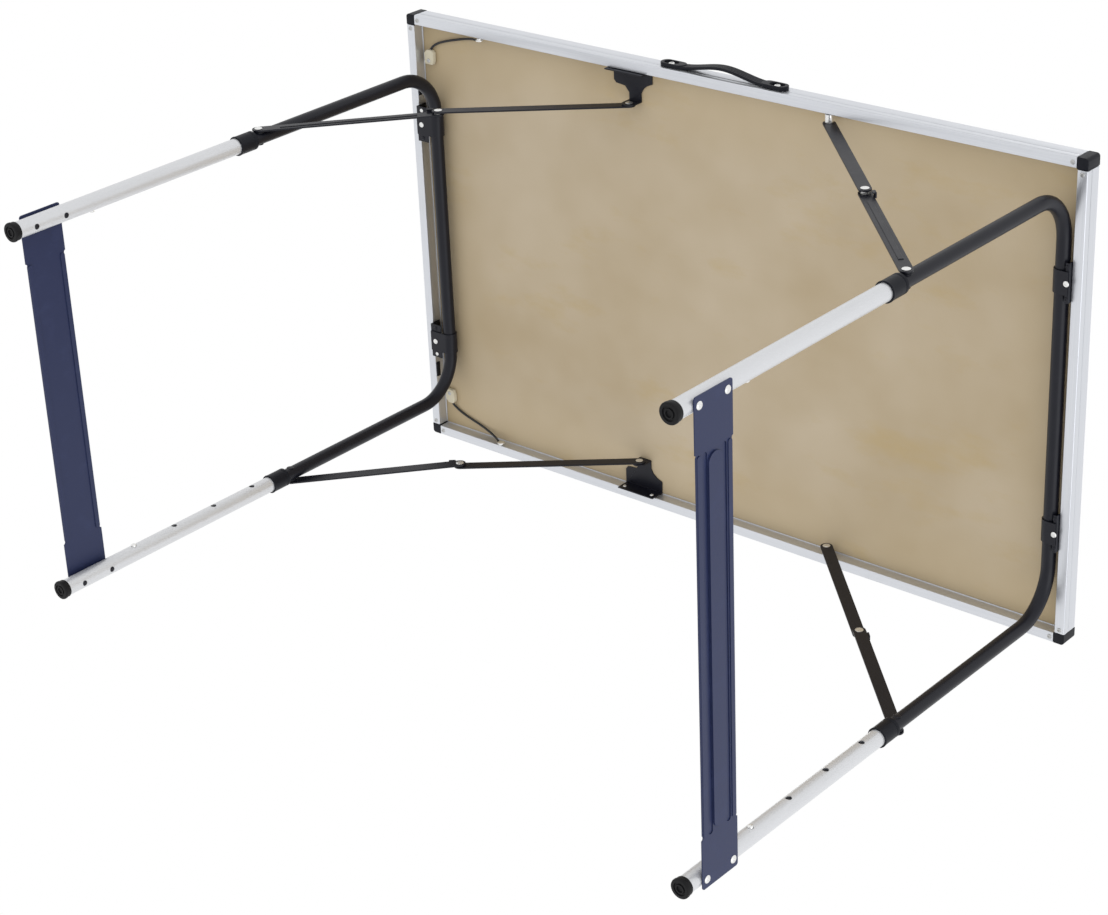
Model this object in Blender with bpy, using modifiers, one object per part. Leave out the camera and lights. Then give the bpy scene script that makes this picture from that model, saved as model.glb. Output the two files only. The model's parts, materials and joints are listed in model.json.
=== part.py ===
"""Folding camping table with two height-adjustable leg frames, legs open at their lowest height.

Metres, +Z up, floor at z = 0. The tabletop is centred on X; the carry handle is on the -Y rail.
"""

import math

import bmesh
import bpy
from mathutils import Matrix, Vector

# Tabletop
TOP_LENGTH = 1.000
TOP_WIDTH = 0.600
RAIL_DEPTH = 0.026
RAIL_WIDTH = 0.013
RAIL_WALL = 0.0013
LIP_Z = 0.696
GAP = 0.0003
BOARD_THICKNESS = 0.0078
BOARD_TOP_Z = LIP_Z + RAIL_DEPTH - RAIL_WALL - GAP
BOARD_UNDER_Z = BOARD_TOP_Z - BOARD_THICKNESS
SLOT_DEPTH = 0.0072
CHAMBER_LOW = 0.0018
CHAMBER_HIGH = 0.0148
CHAMBER_IN = 0.0018
CHAMBER_OUT = 0.0112
CORNER_SIZE = 0.014
TENON_LENGTH = 0.018

# Handle
HANDLE_LENGTH = 0.186
HANDLE_REACH = 0.013
HANDLE_THICKNESS = 0.0038
HANDLE_HEIGHT = 0.0165
HANDLE_X = 0.004
HANDLE_Z = LIP_Z + 0.0130
HANDLE_SCREW_SPACING = 0.156
HANDLE_PAD_REACH = 0.0050
HANDLE_PAD_END = 0.064

# Leg frames: each end turns in two clamps on its end rail
AXIS_Z = LIP_Z + 0.003
TUBE_R = 0.0085
TUBE_WALL = 0.0012
BEND_R = 0.058
LOWER_R = 0.010
LOWER_BORE_R = 0.0088
UPPER_END_Z = LIP_Z - 0.568
LOWER_TOP_Z = LIP_Z - 0.3225
LOWER_END_Z = 0.0034
COLLAR_R = 0.0118
COLLAR_RIM_R = 0.0121
COLLAR_TOP_Z = LIP_Z - 0.320
COLLAR_BOTTOM_Z = LIP_Z - 0.349
CAP_R = 0.0115
CAP_HEIGHT = 0.009
HOLE_R = 0.0036
BUTTON_Z = LIP_Z - 0.578
HOLE_STEP = 0.0665
SPARE_HOLES = 3
BUTTON_R = 0.0032
BUTTON_PROUD = 0.0024
LEG_RIVET_Z = LIP_Z - 0.310
LEG_RIVET_R = 0.0036

# Cross panels between the feet
PANEL_LOW_Z = LIP_Z - 0.673
PANEL_HIGH_Z = LIP_Z - 0.615
PANEL_SHEET = 0.0013
PANEL_RAISE = 0.0020
PANEL_EDGE_BAND = 0.0145
PANEL_END_BAND = 0.027

# Clamps
CLAMP_Y = 0.155
BASE_LENGTH = 0.048
STRAP_LENGTH = 0.028
SHEET = 0.0015
STRAP_SHEET = 0.0014
BASE_WEB_TOP_Z = LIP_Z + 0.0120
BASE_FLANGE_Z = LIP_Z - 0.0055
STRAP_INNER_R = 0.0088

# Braces
LINK_THICKNESS = 0.002
LINK_END_R = 0.0078
BRACE_PIVOT_Z = LIP_Z + 0.003
KNEE_RIVET_R = 0.0030
KNEE_HEAD_R = 0.0050
KNEE_INNER_HEAD = 0.0005
KNEE_BOSS = 0.0004
PIN_CLEARANCE = 0.0003

# Each end: side of the table, leg plane, brace pivot on the rail, how much longer the two links
# are together than the open brace, and the depth of each link layer
ENDS = {
    "left": {
        "side": -1,
        "axis_x": -0.4605,
        "leg_y": 0.2285,
        "brace_x": -0.1335,
        "slack": 0.0017,
        "leg_link_y": 0.2380,
        "top_link_y": 0.2415,
    },
    "right": {
        "side": 1,
        "axis_x": 0.4735,
        "leg_y": 0.2596,
        "brace_x": 0.1623,
        "slack": 0.0,
        "leg_link_y": 0.2694,
        "top_link_y": 0.2745,
    },
}
SIDES = {"front": -1, "back": 1}

# Left brace brackets, and studs for the right braces
BRACKET_PLATE_LOW_Z = LIP_Z + 0.0149
BRACKET_PLATE_HIGH_Z = LIP_Z + 0.0163
BRACKET_NEAR_X = -0.1665
BRACKET_FAR_X = -0.1065
BRACKET_TIP_NEAR_X = -0.1430
BRACKET_TIP_FAR_X = -0.1240
BRACKET_SHOULDER_Y = 0.2630
BRACKET_TAB_Y = 0.2438
BRACKET_TAB_SHEET = 0.0018
BRACKET_FLANGE_Z = (LIP_Z - 0.0055, LIP_Z + 0.0145)
STUD_R = 0.0050

# Retaining cords at the left end
CORD_R = 0.0015
CLIP_X = -0.4740
CLIP_Y = 0.2460
CORD_RIVET_X = -0.3760

RAIL_INNER_X = TOP_LENGTH / 2 - RAIL_WIDTH
RAIL_INNER_Y = TOP_WIDTH / 2 - RAIL_WIDTH
SHIFT_Y = HANDLE_REACH / 2
ROUND = 20

MATERIALS = {
    "board_tan": ((0.46, 0.36, 0.23), 0.0, 0.55),
    "rail_aluminium": ((0.80, 0.80, 0.82), 1.0, 0.35),
    "black_coat": ((0.015, 0.016, 0.022), 0.0, 0.40),
    "silver_coat": ((0.72, 0.73, 0.75), 0.8, 0.35),
    "black_plastic": ((0.012, 0.012, 0.014), 0.0, 0.50),
    "zinc": ((0.75, 0.75, 0.74), 1.0, 0.30),
    "cream_plastic": ((0.62, 0.56, 0.42), 0.0, 0.45),
    "cord_black": ((0.02, 0.02, 0.022), 0.0, 0.80),
}


def clear_scene():
    for obj in list(bpy.data.objects):
        bpy.data.objects.remove(obj, do_unlink=True)


def make_materials():
    for name, (colour, metallic, roughness) in MATERIALS.items():
        material = bpy.data.materials.new(name)
        material.use_nodes = True
        shader = material.node_tree.nodes["Principled BSDF"]
        shader.inputs["Base Color"].default_value = (*colour, 1.0)
        shader.inputs["Metallic"].default_value = metallic
        shader.inputs["Roughness"].default_value = roughness


def new_collection(name):
    collection = bpy.data.collections.new(name)
    bpy.context.scene.collection.children.link(collection)
    return collection


def mesh_object(name, bm, collection):
    """A closed mesh object, faces out, from a bmesh."""
    bmesh.ops.remove_doubles(bm, verts=bm.verts, dist=1e-6)
    bmesh.ops.recalc_face_normals(bm, faces=bm.faces)
    mesh = bpy.data.meshes.new(name)
    bm.to_mesh(mesh)
    bm.free()
    obj = bpy.data.objects.new(name, mesh)
    collection.objects.link(obj)
    return obj


def add_box(bm, low, high):
    size = [b - a for a, b in zip(low, high)]
    centre = [(a + b) / 2 for a, b in zip(low, high)]
    matrix = Matrix.Translation(centre) @ Matrix.Diagonal((*size, 1.0))
    bmesh.ops.create_cube(bm, size=1.0, matrix=matrix)


def add_rod(bm, start, end, radius, end_radius=None, segments=ROUND):
    """A round bar or cone from start to end."""
    start = Vector(start)
    along = Vector(end) - start
    turn = along.to_track_quat("Z", "Y").to_matrix().to_4x4()
    matrix = Matrix.Translation(start + along / 2) @ turn
    bmesh.ops.create_cone(
        bm,
        cap_ends=True,
        segments=segments,
        radius1=radius,
        radius2=radius if end_radius is None else end_radius,
        depth=along.length,
        matrix=matrix,
    )


def box(name, low, high, collection):
    bm = bmesh.new()
    add_box(bm, low, high)
    return mesh_object(name, bm, collection)


def rod(name, start, end, radius, collection, end_radius=None, segments=ROUND):
    bm = bmesh.new()
    add_rod(bm, start, end, radius, end_radius, segments)
    return mesh_object(name, bm, collection)


def prism(name, outline, start, along, collection):
    """A flat outline given as 3-D points in one plane, pushed along a vector into a closed solid."""
    bm = bmesh.new()
    face = bm.faces.new([bm.verts.new(Vector(point) + Vector(start)) for point in outline])
    made = bmesh.ops.extrude_face_region(bm, geom=[face])
    moved = [item for item in made["geom"] if isinstance(item, bmesh.types.BMVert)]
    bmesh.ops.translate(bm, verts=moved, vec=Vector(along))
    return mesh_object(name, bm, collection)


def arc(centre, radius, start_deg, end_deg, steps):
    """Points of an arc in a plane, as (u, v) pairs."""
    points = []
    for step in range(steps + 1):
        angle = math.radians(start_deg + (end_deg - start_deg) * step / steps)
        points.append((centre[0] + radius * math.cos(angle), centre[1] + radius * math.sin(angle)))
    return points


def turned(name, profile, start, axis, collection, segments=ROUND):
    """A solid of revolution from (radius, height) pairs, turned about an axis through start."""
    bm = bmesh.new()
    turn = Vector(axis).to_track_quat("Z", "Y").to_matrix().to_4x4()
    place = Matrix.Translation(start) @ turn
    rings = []
    for radius, height in profile:
        if radius == 0:
            rings.append([bm.verts.new(place @ Vector((0, 0, height)))])
            continue
        ring = []
        for step in range(segments):
            angle = 2 * math.pi * step / segments
            point = Vector((radius * math.cos(angle), radius * math.sin(angle), height))
            ring.append(bm.verts.new(place @ point))
        rings.append(ring)
    for ring, following in zip(rings, rings[1:]):
        join_rings(bm, ring, following)
    if len(rings[0]) > 1:
        join_rings(bm, rings[-1], rings[0])
    return mesh_object(name, bm, collection)


def join_rings(bm, ring, following):
    count = max(len(ring), len(following))
    for step in range(count):
        after = (step + 1) % count
        corners = [ring[step % len(ring)], ring[after % len(ring)]]
        corners += [following[after % len(following)], following[step % len(following)]]
        unique = []
        for corner in corners:
            if corner not in unique:
                unique.append(corner)
        bm.faces.new(unique)


def boolean(obj, other, operation):
    modifier = obj.modifiers.new(operation.lower(), "BOOLEAN")
    modifier.operation = operation
    modifier.solver = "EXACT"
    modifier.object = other
    other.hide_render = True
    other.display_type = "WIRE"


def cut(obj, tool):
    boolean(obj, tool, "DIFFERENCE")


def join(obj, tool):
    boolean(obj, tool, "UNION")


def bevel(obj, width, segments=2, angle_deg=35):
    modifier = obj.modifiers.new("bevel", "BEVEL")
    modifier.width = width
    modifier.segments = segments
    modifier.limit_method = "ANGLE"
    modifier.angle_limit = math.radians(angle_deg)
    modifier.use_clamp_overlap = True


def finish(obj, material, root, origin=(0, 0, 0), smooth=False):
    """Gives the piece its material, puts its origin on its joint and hangs it from the root."""
    obj.data.transform(Matrix.Translation(-Vector(origin)))
    obj.location = origin
    obj.parent = root
    obj.data.materials.append(bpy.data.materials[material])
    if smooth:
        for polygon in obj.data.polygons:
            polygon.use_smooth = True
    return obj


def rail_profile():
    """Rail section as (depth in from the outer face, height above the lip) pairs, slot included."""
    slot_low = BOARD_UNDER_Z - GAP - LIP_Z
    slot_high = BOARD_TOP_Z + GAP - LIP_Z
    slot_in = RAIL_WIDTH - SLOT_DEPTH
    points = [
        (0.0, 0.0012),
        (0.0012, 0.0),
        (RAIL_WIDTH - 0.0008, 0.0),
        (RAIL_WIDTH, 0.0008),
        (RAIL_WIDTH, slot_low),
        (slot_in, slot_low),
        (slot_in, slot_high),
        (RAIL_WIDTH, slot_high),
        (RAIL_WIDTH, RAIL_DEPTH - 0.0005),
        (RAIL_WIDTH - 0.0008, RAIL_DEPTH),
        (0.0020, RAIL_DEPTH),
        (0.0006, RAIL_DEPTH - 0.0006),
        (0.0, RAIL_DEPTH - 0.0020),
        (0.0, 0.0100),
        (0.0006, 0.0094),
        (0.0006, 0.0086),
        (0.0, 0.0080),
    ]
    return points


def make_rail(name, along_x, side, parts, cutters, root):
    """One hollow rail of the top frame, between two corner blocks."""
    half = (TOP_LENGTH if along_x else TOP_WIDTH) / 2 - CORNER_SIZE - GAP
    edge = (TOP_WIDTH if along_x else TOP_LENGTH) / 2

    def at(length, depth, height):
        across = side * (edge - depth)
        if along_x:
            return (length, across, LIP_Z + height)
        return (across, length, LIP_Z + height)

    outline = [at(-half, depth, height) for depth, height in rail_profile()]
    along = (2 * half, 0, 0) if along_x else (0, 2 * half, 0)
    obj = prism(name, outline, (0, 0, 0), along, parts)
    chamber = [
        at(-half - 0.01, CHAMBER_IN, CHAMBER_LOW),
        at(-half - 0.01, CHAMBER_OUT, CHAMBER_LOW),
        at(-half - 0.01, CHAMBER_OUT, CHAMBER_HIGH),
        at(-half - 0.01, CHAMBER_IN, CHAMBER_HIGH),
    ]
    longer = 2 * half + 0.02
    along = (longer, 0, 0) if along_x else (0, longer, 0)
    cut(obj, prism(name + "_chamber", chamber, (0, 0, 0), along, cutters))
    return finish(obj, "rail_aluminium", root)


def make_corner(name, side_x, side_y, parts, cutters, root):
    """Plastic corner block with a tongue into the chamber of each rail."""
    x_out = TOP_LENGTH / 2
    y_out = TOP_WIDTH / 2
    radius = 0.0040
    corner = arc((x_out - radius, y_out - radius), radius, 0, 90, 5)
    outline = [(x_out, y_out - CORNER_SIZE)] + corner
    outline += [(x_out - CORNER_SIZE, y_out), (x_out - CORNER_SIZE, y_out - CORNER_SIZE)]
    points = [(side_x * u, side_y * v, LIP_Z) for u, v in outline]
    obj = prism(name, points, (0, 0, 0), (0, 0, RAIL_DEPTH), parts)
    bevel(obj, 0.0007, 1)
    slot_low = BOARD_UNDER_Z - GAP
    slot_high = BOARD_TOP_Z + GAP
    slot_in = RAIL_WIDTH - SLOT_DEPTH
    pocket_x = (side_x * (x_out - CORNER_SIZE - 0.01), side_x * (x_out - slot_in))
    pocket_y = (side_y * (y_out - CORNER_SIZE - 0.01), side_y * (y_out - slot_in))
    low = (min(pocket_x), min(pocket_y), slot_low)
    high = (max(pocket_x), max(pocket_y), slot_high)
    cut(obj, box(name + "_pocket", low, high, cutters))
    for along_x in (True, False):
        start = -0.002
        end = TENON_LENGTH
        near = CHAMBER_IN + GAP
        far = CHAMBER_OUT - GAP
        if along_x:
            span_x = [side_x * (x_out - CORNER_SIZE - d) for d in (start, end)]
            span_y = [side_y * (y_out - d) for d in (near, far)]
        else:
            span_x = [side_x * (x_out - d) for d in (near, far)]
            span_y = [side_y * (y_out - CORNER_SIZE - d) for d in (start, end)]
        low = (min(span_x), min(span_y), LIP_Z + CHAMBER_LOW + GAP)
        high = (max(span_x), max(span_y), LIP_Z + CHAMBER_HIGH - GAP)
        suffix = "_tongue_x" if along_x else "_tongue_y"
        join(obj, box(name + suffix, low, high, cutters))
    return finish(obj, "black_plastic", root)


def make_board(parts, root):
    inset = RAIL_WIDTH - SLOT_DEPTH + GAP
    half_x = TOP_LENGTH / 2 - inset
    half_y = TOP_WIDTH / 2 - inset
    low = (-half_x, -half_y, BOARD_UNDER_Z)
    high = (half_x, half_y, BOARD_TOP_Z)
    finish(box("top_board", low, high, parts), "board_tan", root)


def smoothstep(value):
    value = min(1.0, max(0.0, value))
    return value * value * (3 - 2 * value)


def make_handle(parts, cutters, root):
    """Strap handle: two oval pads on the rail with the arched strap between them, one moulding."""
    stations = 36
    half = HANDLE_LENGTH / 2
    bm = bmesh.new()
    rings = []
    rail_face = TOP_WIDTH / 2 + GAP
    for index in range(stations + 1):
        across = -math.cos(math.pi * index / stations)
        x = half * (across if abs(across) < 0.999 else 0.999 * across)
        from_end = half - abs(x)
        rise = smoothstep((HANDLE_PAD_END - abs(x)) / HANDLE_PAD_END)
        y_in = rail_face + rise * (HANDLE_REACH - HANDLE_THICKNESS - GAP)
        thickness = HANDLE_PAD_REACH + (HANDLE_THICKNESS - HANDLE_PAD_REACH) * rise
        y_out = y_in + thickness
        rounding = math.sqrt(max(0.02, 1 - (max(0.0, 0.0085 - from_end) / 0.0085) ** 2))
        half_z = HANDLE_HEIGHT / 2 * rounding
        ring = []
        lip = 0.0012
        for y, z in (
            (y_in, -half_z),
            (y_in, half_z),
            (y_out - lip, half_z),
            (y_out, half_z - min(lip, half_z / 2)),
            (y_out, -half_z + min(lip, half_z / 2)),
            (y_out - lip, -half_z),
        ):
            ring.append(bm.verts.new((HANDLE_X + x, -y, HANDLE_Z + z)))
        rings.append(ring)
    for ring, following in zip(rings, rings[1:]):
        join_rings(bm, ring, following)
    bm.faces.new(rings[0])
    bm.faces.new(rings[-1])
    obj = mesh_object("handle_strap", bm, parts)
    for side in (-1, 1):
        x = HANDLE_X + side * HANDLE_SCREW_SPACING / 2
        start = (x, -TOP_WIDTH / 2 - 0.0035, HANDLE_Z)
        end = (x, -TOP_WIDTH / 2 - 0.012, HANDLE_Z)
        cut(obj, rod("handle_recess_%d" % side, start, end, 0.0056, cutters, segments=16))
    finish(obj, "black_plastic", root)


def sweep(name, points, radius, collection, segments=16, inner=None):
    """A round tube along a flat run of points; with an inner radius it is open at both ends."""
    bm = bmesh.new()
    points = [Vector(point) for point in points]
    normal = Vector((1, 0, 0))
    outer_rings = []
    inner_rings = []
    for index, point in enumerate(points):
        before = points[max(0, index - 1)]
        after = points[min(len(points) - 1, index + 1)]
        tangent = (after - before).normalized()
        side = normal.cross(tangent).normalized()
        up = tangent.cross(side).normalized()
        outer = []
        bore = []
        for step in range(segments):
            angle = 2 * math.pi * step / segments
            spoke = side * math.cos(angle) + up * math.sin(angle)
            outer.append(bm.verts.new(point + spoke * radius))
            if inner:
                bore.append(bm.verts.new(point + spoke * inner))
        outer_rings.append(outer)
        inner_rings.append(bore)
    for ring, following in zip(outer_rings, outer_rings[1:]):
        join_rings(bm, ring, following)
    if inner:
        for ring, following in zip(inner_rings, inner_rings[1:]):
            join_rings(bm, following, ring)
        join_rings(bm, inner_rings[0], outer_rings[0])
        join_rings(bm, outer_rings[-1], inner_rings[-1])
    else:
        bm.faces.new(outer_rings[0])
        bm.faces.new(outer_rings[-1])
    return mesh_object(name, bm, collection)


def frame_path(end):
    """Centre line of a leg frame: up the front leg, across under the top, down the back leg."""
    x = end["axis_x"]
    y = end["leg_y"]
    points = [(x, -y, UPPER_END_Z), (x, -y, LEG_RIVET_Z - 0.03), (x, -y, LEG_RIVET_Z + 0.03)]
    bend = [(x, -y + BEND_R - u, AXIS_Z - BEND_R + v) for u, v in arc((0, 0), BEND_R, 0, 90, 8)]
    points += bend
    points += [(x, py * -1, pz) for _, py, pz in reversed(points)]
    return points


def make_leg_frame(word, end, parts, cutters, root):
    """Bent upper tube of one end, open at its two lower ends, with the two studs for the braces."""
    obj = sweep("leg_frame_" + word, frame_path(end), TUBE_R, parts, 16, TUBE_R - TUBE_WALL)
    origin = (end["axis_x"], 0, AXIS_Z)
    for name, side in SIDES.items():
        inner = side * (end["leg_y"] - TUBE_R - 0.0015)
        outer = side * (end["leg_link_y"] + LINK_THICKNESS + 0.0010)
        start = (end["axis_x"], inner, LEG_RIVET_Z)
        finish_at = (end["axis_x"], outer, LEG_RIVET_Z)
        stud = rod("stud_%s_%s" % (word, name), start, finish_at, LEG_RIVET_R, cutters, segments=14)
        join(obj, stud)
        shoulder_end = (end["axis_x"], side * (end["leg_link_y"] - GAP), LEG_RIVET_Z)
        middle = (end["axis_x"], side * end["leg_y"], LEG_RIVET_Z)
        shoulder = rod(
            "shoulder_%s_%s" % (word, name), middle, shoulder_end, 0.0058, cutters, segments=14
        )
        join(obj, shoulder)
    return finish(obj, "black_coat", root, origin, True)


def make_lower_leg(word, name, end, side, parts, cutters, root):
    """Height-adjusting tube with its row of stop holes, its collar, its foot cap and its button."""
    x = end["axis_x"]
    y = side * end["leg_y"]
    origin = (x, y, LOWER_END_Z)
    tag = word + "_" + name
    profile = [
        (LOWER_R, LOWER_END_Z),
        (LOWER_R, LOWER_TOP_Z),
        (LOWER_BORE_R, LOWER_TOP_Z),
        (LOWER_BORE_R, LOWER_END_Z),
    ]
    tube = turned("lower_tube_" + tag, profile, (x, y, 0), (0, 0, 1), parts)
    for index in range(SPARE_HOLES + 1):
        z = BUTTON_Z + index * HOLE_STEP
        start = (x, y - side * (LOWER_BORE_R - 0.0030), z)
        finish_at = (x, y - side * (LOWER_R + 0.0030), z)
        name_hole = "hole_%s_%d" % (tag, index)
        cut(tube, rod(name_hole, start, finish_at, HOLE_R, cutters, segments=14))
    finish(tube, "silver_coat", root, origin, True)
    grip = LOWER_R + GAP
    slide = TUBE_R + GAP
    lip = LOWER_TOP_Z + GAP
    profile = [
        (COLLAR_RIM_R, COLLAR_BOTTOM_Z),
        (COLLAR_RIM_R, COLLAR_BOTTOM_Z + 0.0018),
        (COLLAR_R, COLLAR_BOTTOM_Z + 0.0032),
        (COLLAR_R, COLLAR_TOP_Z - 0.0010),
        (COLLAR_R - 0.0010, COLLAR_TOP_Z),
        (slide, COLLAR_TOP_Z),
        (slide, lip),
        (grip, lip),
        (grip, COLLAR_BOTTOM_Z),
    ]
    collar = turned("collar_" + tag, profile, (x, y, 0), (0, 0, 1), parts)
    finish(collar, "black_plastic", root, origin, True)
    floor = LOWER_END_Z - GAP
    profile = [
        (0, 0),
        (CAP_R - 0.0010, 0),
        (CAP_R, 0.0010),
        (CAP_R, CAP_HEIGHT - 0.0006),
        (CAP_R - 0.0006, CAP_HEIGHT),
        (grip, CAP_HEIGHT),
        (grip, floor),
        (0, floor),
    ]
    cap = turned("foot_cap_" + tag, profile, (x, y, 0), (0, 0, 1), parts)
    finish(cap, "black_plastic", root, origin, True)
    make_button(tag, x, y, side, parts, root)


def make_button(tag, x, y, side, parts, root):
    """Sprung button: domed head through the tube's hole, wider foot behind it in the bore."""
    top = LOWER_R + BUTTON_PROUD
    profile = [
        (0, 0.0048),
        (0.0042, 0.0048),
        (0.0042, 0.0068),
        (BUTTON_R, 0.0068),
        (BUTTON_R, top - 0.0012),
        (BUTTON_R * 0.72, top - 0.0003),
        (0, top),
    ]
    button = turned("snap_button_" + tag, profile, (x, y, BUTTON_Z), (0, -side, 0), parts, 14)
    finish(button, "zinc", root, (x, y, BUTTON_Z), True)


def make_panel(word, end, parts, root):
    """Pressed sheet between the two feet, with a raised field that stops short of the rivets."""
    side = end["side"]
    half = end["leg_y"] + LOWER_R
    inner = abs(end["axis_x"]) + LOWER_R + GAP
    raised = inner + PANEL_RAISE
    ys = [-half, -half + PANEL_END_BAND, -half + PANEL_END_BAND + 0.004]
    ys += [-y for y in reversed(ys)]
    zs = [PANEL_LOW_Z, PANEL_LOW_Z + PANEL_EDGE_BAND, PANEL_LOW_Z + PANEL_EDGE_BAND + 0.003]
    zs += [PANEL_HIGH_Z + PANEL_LOW_Z - z for z in reversed(zs)]
    bm = bmesh.new()
    layers = []
    for offset in (0.0, PANEL_SHEET):
        grid = []
        for i, y in enumerate(ys):
            row = []
            for j, z in enumerate(zs):
                is_field = i in (2, 3) and j in (2, 3)
                x = (raised if is_field else inner) + offset
                row.append(bm.verts.new((side * x, y, z)))
            grid.append(row)
        layers.append(grid)
    last_y = len(ys) - 1
    last_z = len(zs) - 1
    for grid in layers:
        for i in range(last_y):
            for j in range(last_z):
                bm.faces.new((grid[i][j], grid[i + 1][j], grid[i + 1][j + 1], grid[i][j + 1]))
    inside, outside = layers
    for i in range(last_y):
        for j in (0, last_z):
            bm.faces.new((inside[i][j], inside[i + 1][j], outside[i + 1][j], outside[i][j]))
    for j in range(last_z):
        for i in (0, last_y):
            bm.faces.new((inside[i][j], inside[i][j + 1], outside[i][j + 1], outside[i][j]))
    obj = mesh_object("cross_panel_" + word, bm, parts)
    return finish(obj, "black_coat", root, (side * inner, 0, PANEL_LOW_Z))


def make_clamp(word, name, end, side, parts, root):
    """Angle base on the end rail, and the strap that holds the cross tube against it."""
    s = end["side"]
    y = side * CLAMP_Y
    axis = abs(end["axis_x"])
    wall = RAIL_INNER_X - GAP
    reach = min(0.018, wall - axis - STRAP_INNER_R - STRAP_SHEET + 0.0020)
    web = [
        (wall, BASE_FLANGE_Z),
        (wall, BASE_WEB_TOP_Z),
        (wall - SHEET, BASE_WEB_TOP_Z),
        (wall - SHEET, BASE_FLANGE_Z + SHEET),
        (wall - reach, BASE_FLANGE_Z + SHEET),
        (wall - reach, BASE_FLANGE_Z),
    ]
    start = (0, y - BASE_LENGTH / 2, 0)
    points = [(s * u, 0, v) for u, v in web]
    base = prism("clamp_base_%s_%s" % (word, name), points, start, (0, BASE_LENGTH, 0), parts)
    bevel(base, 0.0004, 1)
    finish(base, "black_coat", root)
    outer = STRAP_INNER_R + STRAP_SHEET
    edge = wall - 0.0008
    outline = arc((axis, AXIS_Z), STRAP_INNER_R, 270, 22, 12)
    outline += reversed(arc((axis, AXIS_Z), outer, 270, 22, 12))
    flange_top = AXIS_Z - STRAP_INNER_R
    flange_low = AXIS_Z - outer
    outline += [(edge, flange_low), (edge, flange_top)]
    points = [(s * u, 0, v) for u, v in outline]
    start = (0, y - STRAP_LENGTH / 2, 0)
    strap = prism("clamp_strap_%s_%s" % (word, name), points, start, (0, STRAP_LENGTH, 0), parts)
    finish(strap, "black_coat", root)


def make_bracket(name, side, parts, cutters, root):
    """Left brace bracket: plate under the board, flange on the rail, tab that carries the brace."""
    wall = RAIL_INNER_Y - GAP
    outline = [
        (BRACKET_NEAR_X, wall),
        (BRACKET_NEAR_X, BRACKET_SHOULDER_Y + 0.004),
        (BRACKET_NEAR_X + 0.0035, BRACKET_SHOULDER_Y),
        (BRACKET_TIP_NEAR_X - 0.0060, BRACKET_SHOULDER_Y - 0.0015),
        (BRACKET_TIP_NEAR_X, BRACKET_SHOULDER_Y - 0.0090),
        (BRACKET_TIP_NEAR_X, BRACKET_TAB_Y),
        (BRACKET_TIP_FAR_X, BRACKET_TAB_Y),
        (BRACKET_TIP_FAR_X, BRACKET_SHOULDER_Y - 0.0070),
        (BRACKET_TIP_FAR_X + 0.0040, BRACKET_SHOULDER_Y - 0.0005),
        (BRACKET_TIP_FAR_X + 0.0100, BRACKET_SHOULDER_Y + 0.0040),
        (BRACKET_FAR_X, BRACKET_SHOULDER_Y + 0.0070),
        (BRACKET_FAR_X, wall),
    ]
    points = [(u, side * v, BRACKET_PLATE_LOW_Z) for u, v in outline]
    rise = (0, 0, BRACKET_PLATE_HIGH_Z - BRACKET_PLATE_LOW_Z)
    obj = prism("brace_bracket_" + name, points, (0, 0, 0), rise, parts)
    tab_y = (side * BRACKET_TAB_Y, side * (BRACKET_TAB_Y + BRACKET_TAB_SHEET))
    middle = (BRACKET_TIP_NEAR_X + BRACKET_TIP_FAR_X) / 2
    radius = (BRACKET_TIP_FAR_X - BRACKET_TIP_NEAR_X) / 2
    top = BRACKET_PLATE_HIGH_Z - 0.0002
    outline = [(middle + radius, top), (middle - radius, top)]
    outline += arc((middle, BRACE_PIVOT_Z), radius, 180, 360, 8)
    points = [(u, min(tab_y), v) for u, v in outline]
    tab = prism("tab_" + name, points, (0, 0, 0), (0, BRACKET_TAB_SHEET, 0), cutters)
    join(obj, tab)
    low = (BRACKET_NEAR_X + 0.002, min(side * wall, side * (wall - SHEET)), BRACKET_FLANGE_Z[0])
    high = (BRACKET_FAR_X, max(side * wall, side * (wall - SHEET)), BRACKET_FLANGE_Z[1] + 0.001)
    join(obj, box("flange_" + name, low, high, cutters))
    end = ENDS["left"]
    x = end["brace_x"]
    start = (x, side * (BRACKET_TAB_Y + 0.001), BRACE_PIVOT_Z)
    finish_at = (x, side * (end["top_link_y"] - 0.0005), BRACE_PIVOT_Z)
    join(obj, rod("bracket_pin_" + name, start, finish_at, LEG_RIVET_R, cutters, segments=14))
    finish(obj, "black_coat", root)


def make_rail_stud(name, side, parts, cutters, root):
    """Right brace pivot: a bush riveted to the long rail, with the pin through the brace."""
    end = ENDS["right"]
    x = end["brace_x"]
    wall = side * (RAIL_INNER_Y - GAP)
    shoulder = side * (end["top_link_y"] + LINK_THICKNESS + GAP)
    obj = rod(
        "rail_stud_" + name,
        (x, wall, BRACE_PIVOT_Z),
        (x, shoulder, BRACE_PIVOT_Z),
        STUD_R,
        parts,
    )
    inner = side * (end["top_link_y"] - 0.0010)
    start = (x, shoulder + side * 0.002, BRACE_PIVOT_Z)
    pin = rod("stud_pin_" + name, start, (x, inner, BRACE_PIVOT_Z), LEG_RIVET_R, cutters, segments=14)
    join(obj, pin)
    finish(obj, "zinc", root)


def knee_of(end):
    """Knee, leg pivot and rail pivot of a brace whose links lie flat along the folded tube."""
    leg = Vector((end["axis_x"], LEG_RIVET_Z))
    rail = Vector((end["brace_x"], BRACE_PIVOT_Z))
    span = (rail - leg).length
    longer_by = abs(end["axis_x"] - end["brace_x"]) - (AXIS_Z - LEG_RIVET_Z)
    both = span + end["slack"]
    top_length = (both + longer_by) / 2
    leg_length = (both - longer_by) / 2
    along = (span**2 + top_length**2 - leg_length**2) / (2 * span)
    off = math.sqrt(max(0.0, top_length**2 - along**2))
    towards = (leg - rail) / span
    to_corner = Vector((-end["side"] * towards.y, end["side"] * towards.x))
    if to_corner.y < 0:
        to_corner = -to_corner
    return rail + towards * along + to_corner * off, leg, rail


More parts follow.
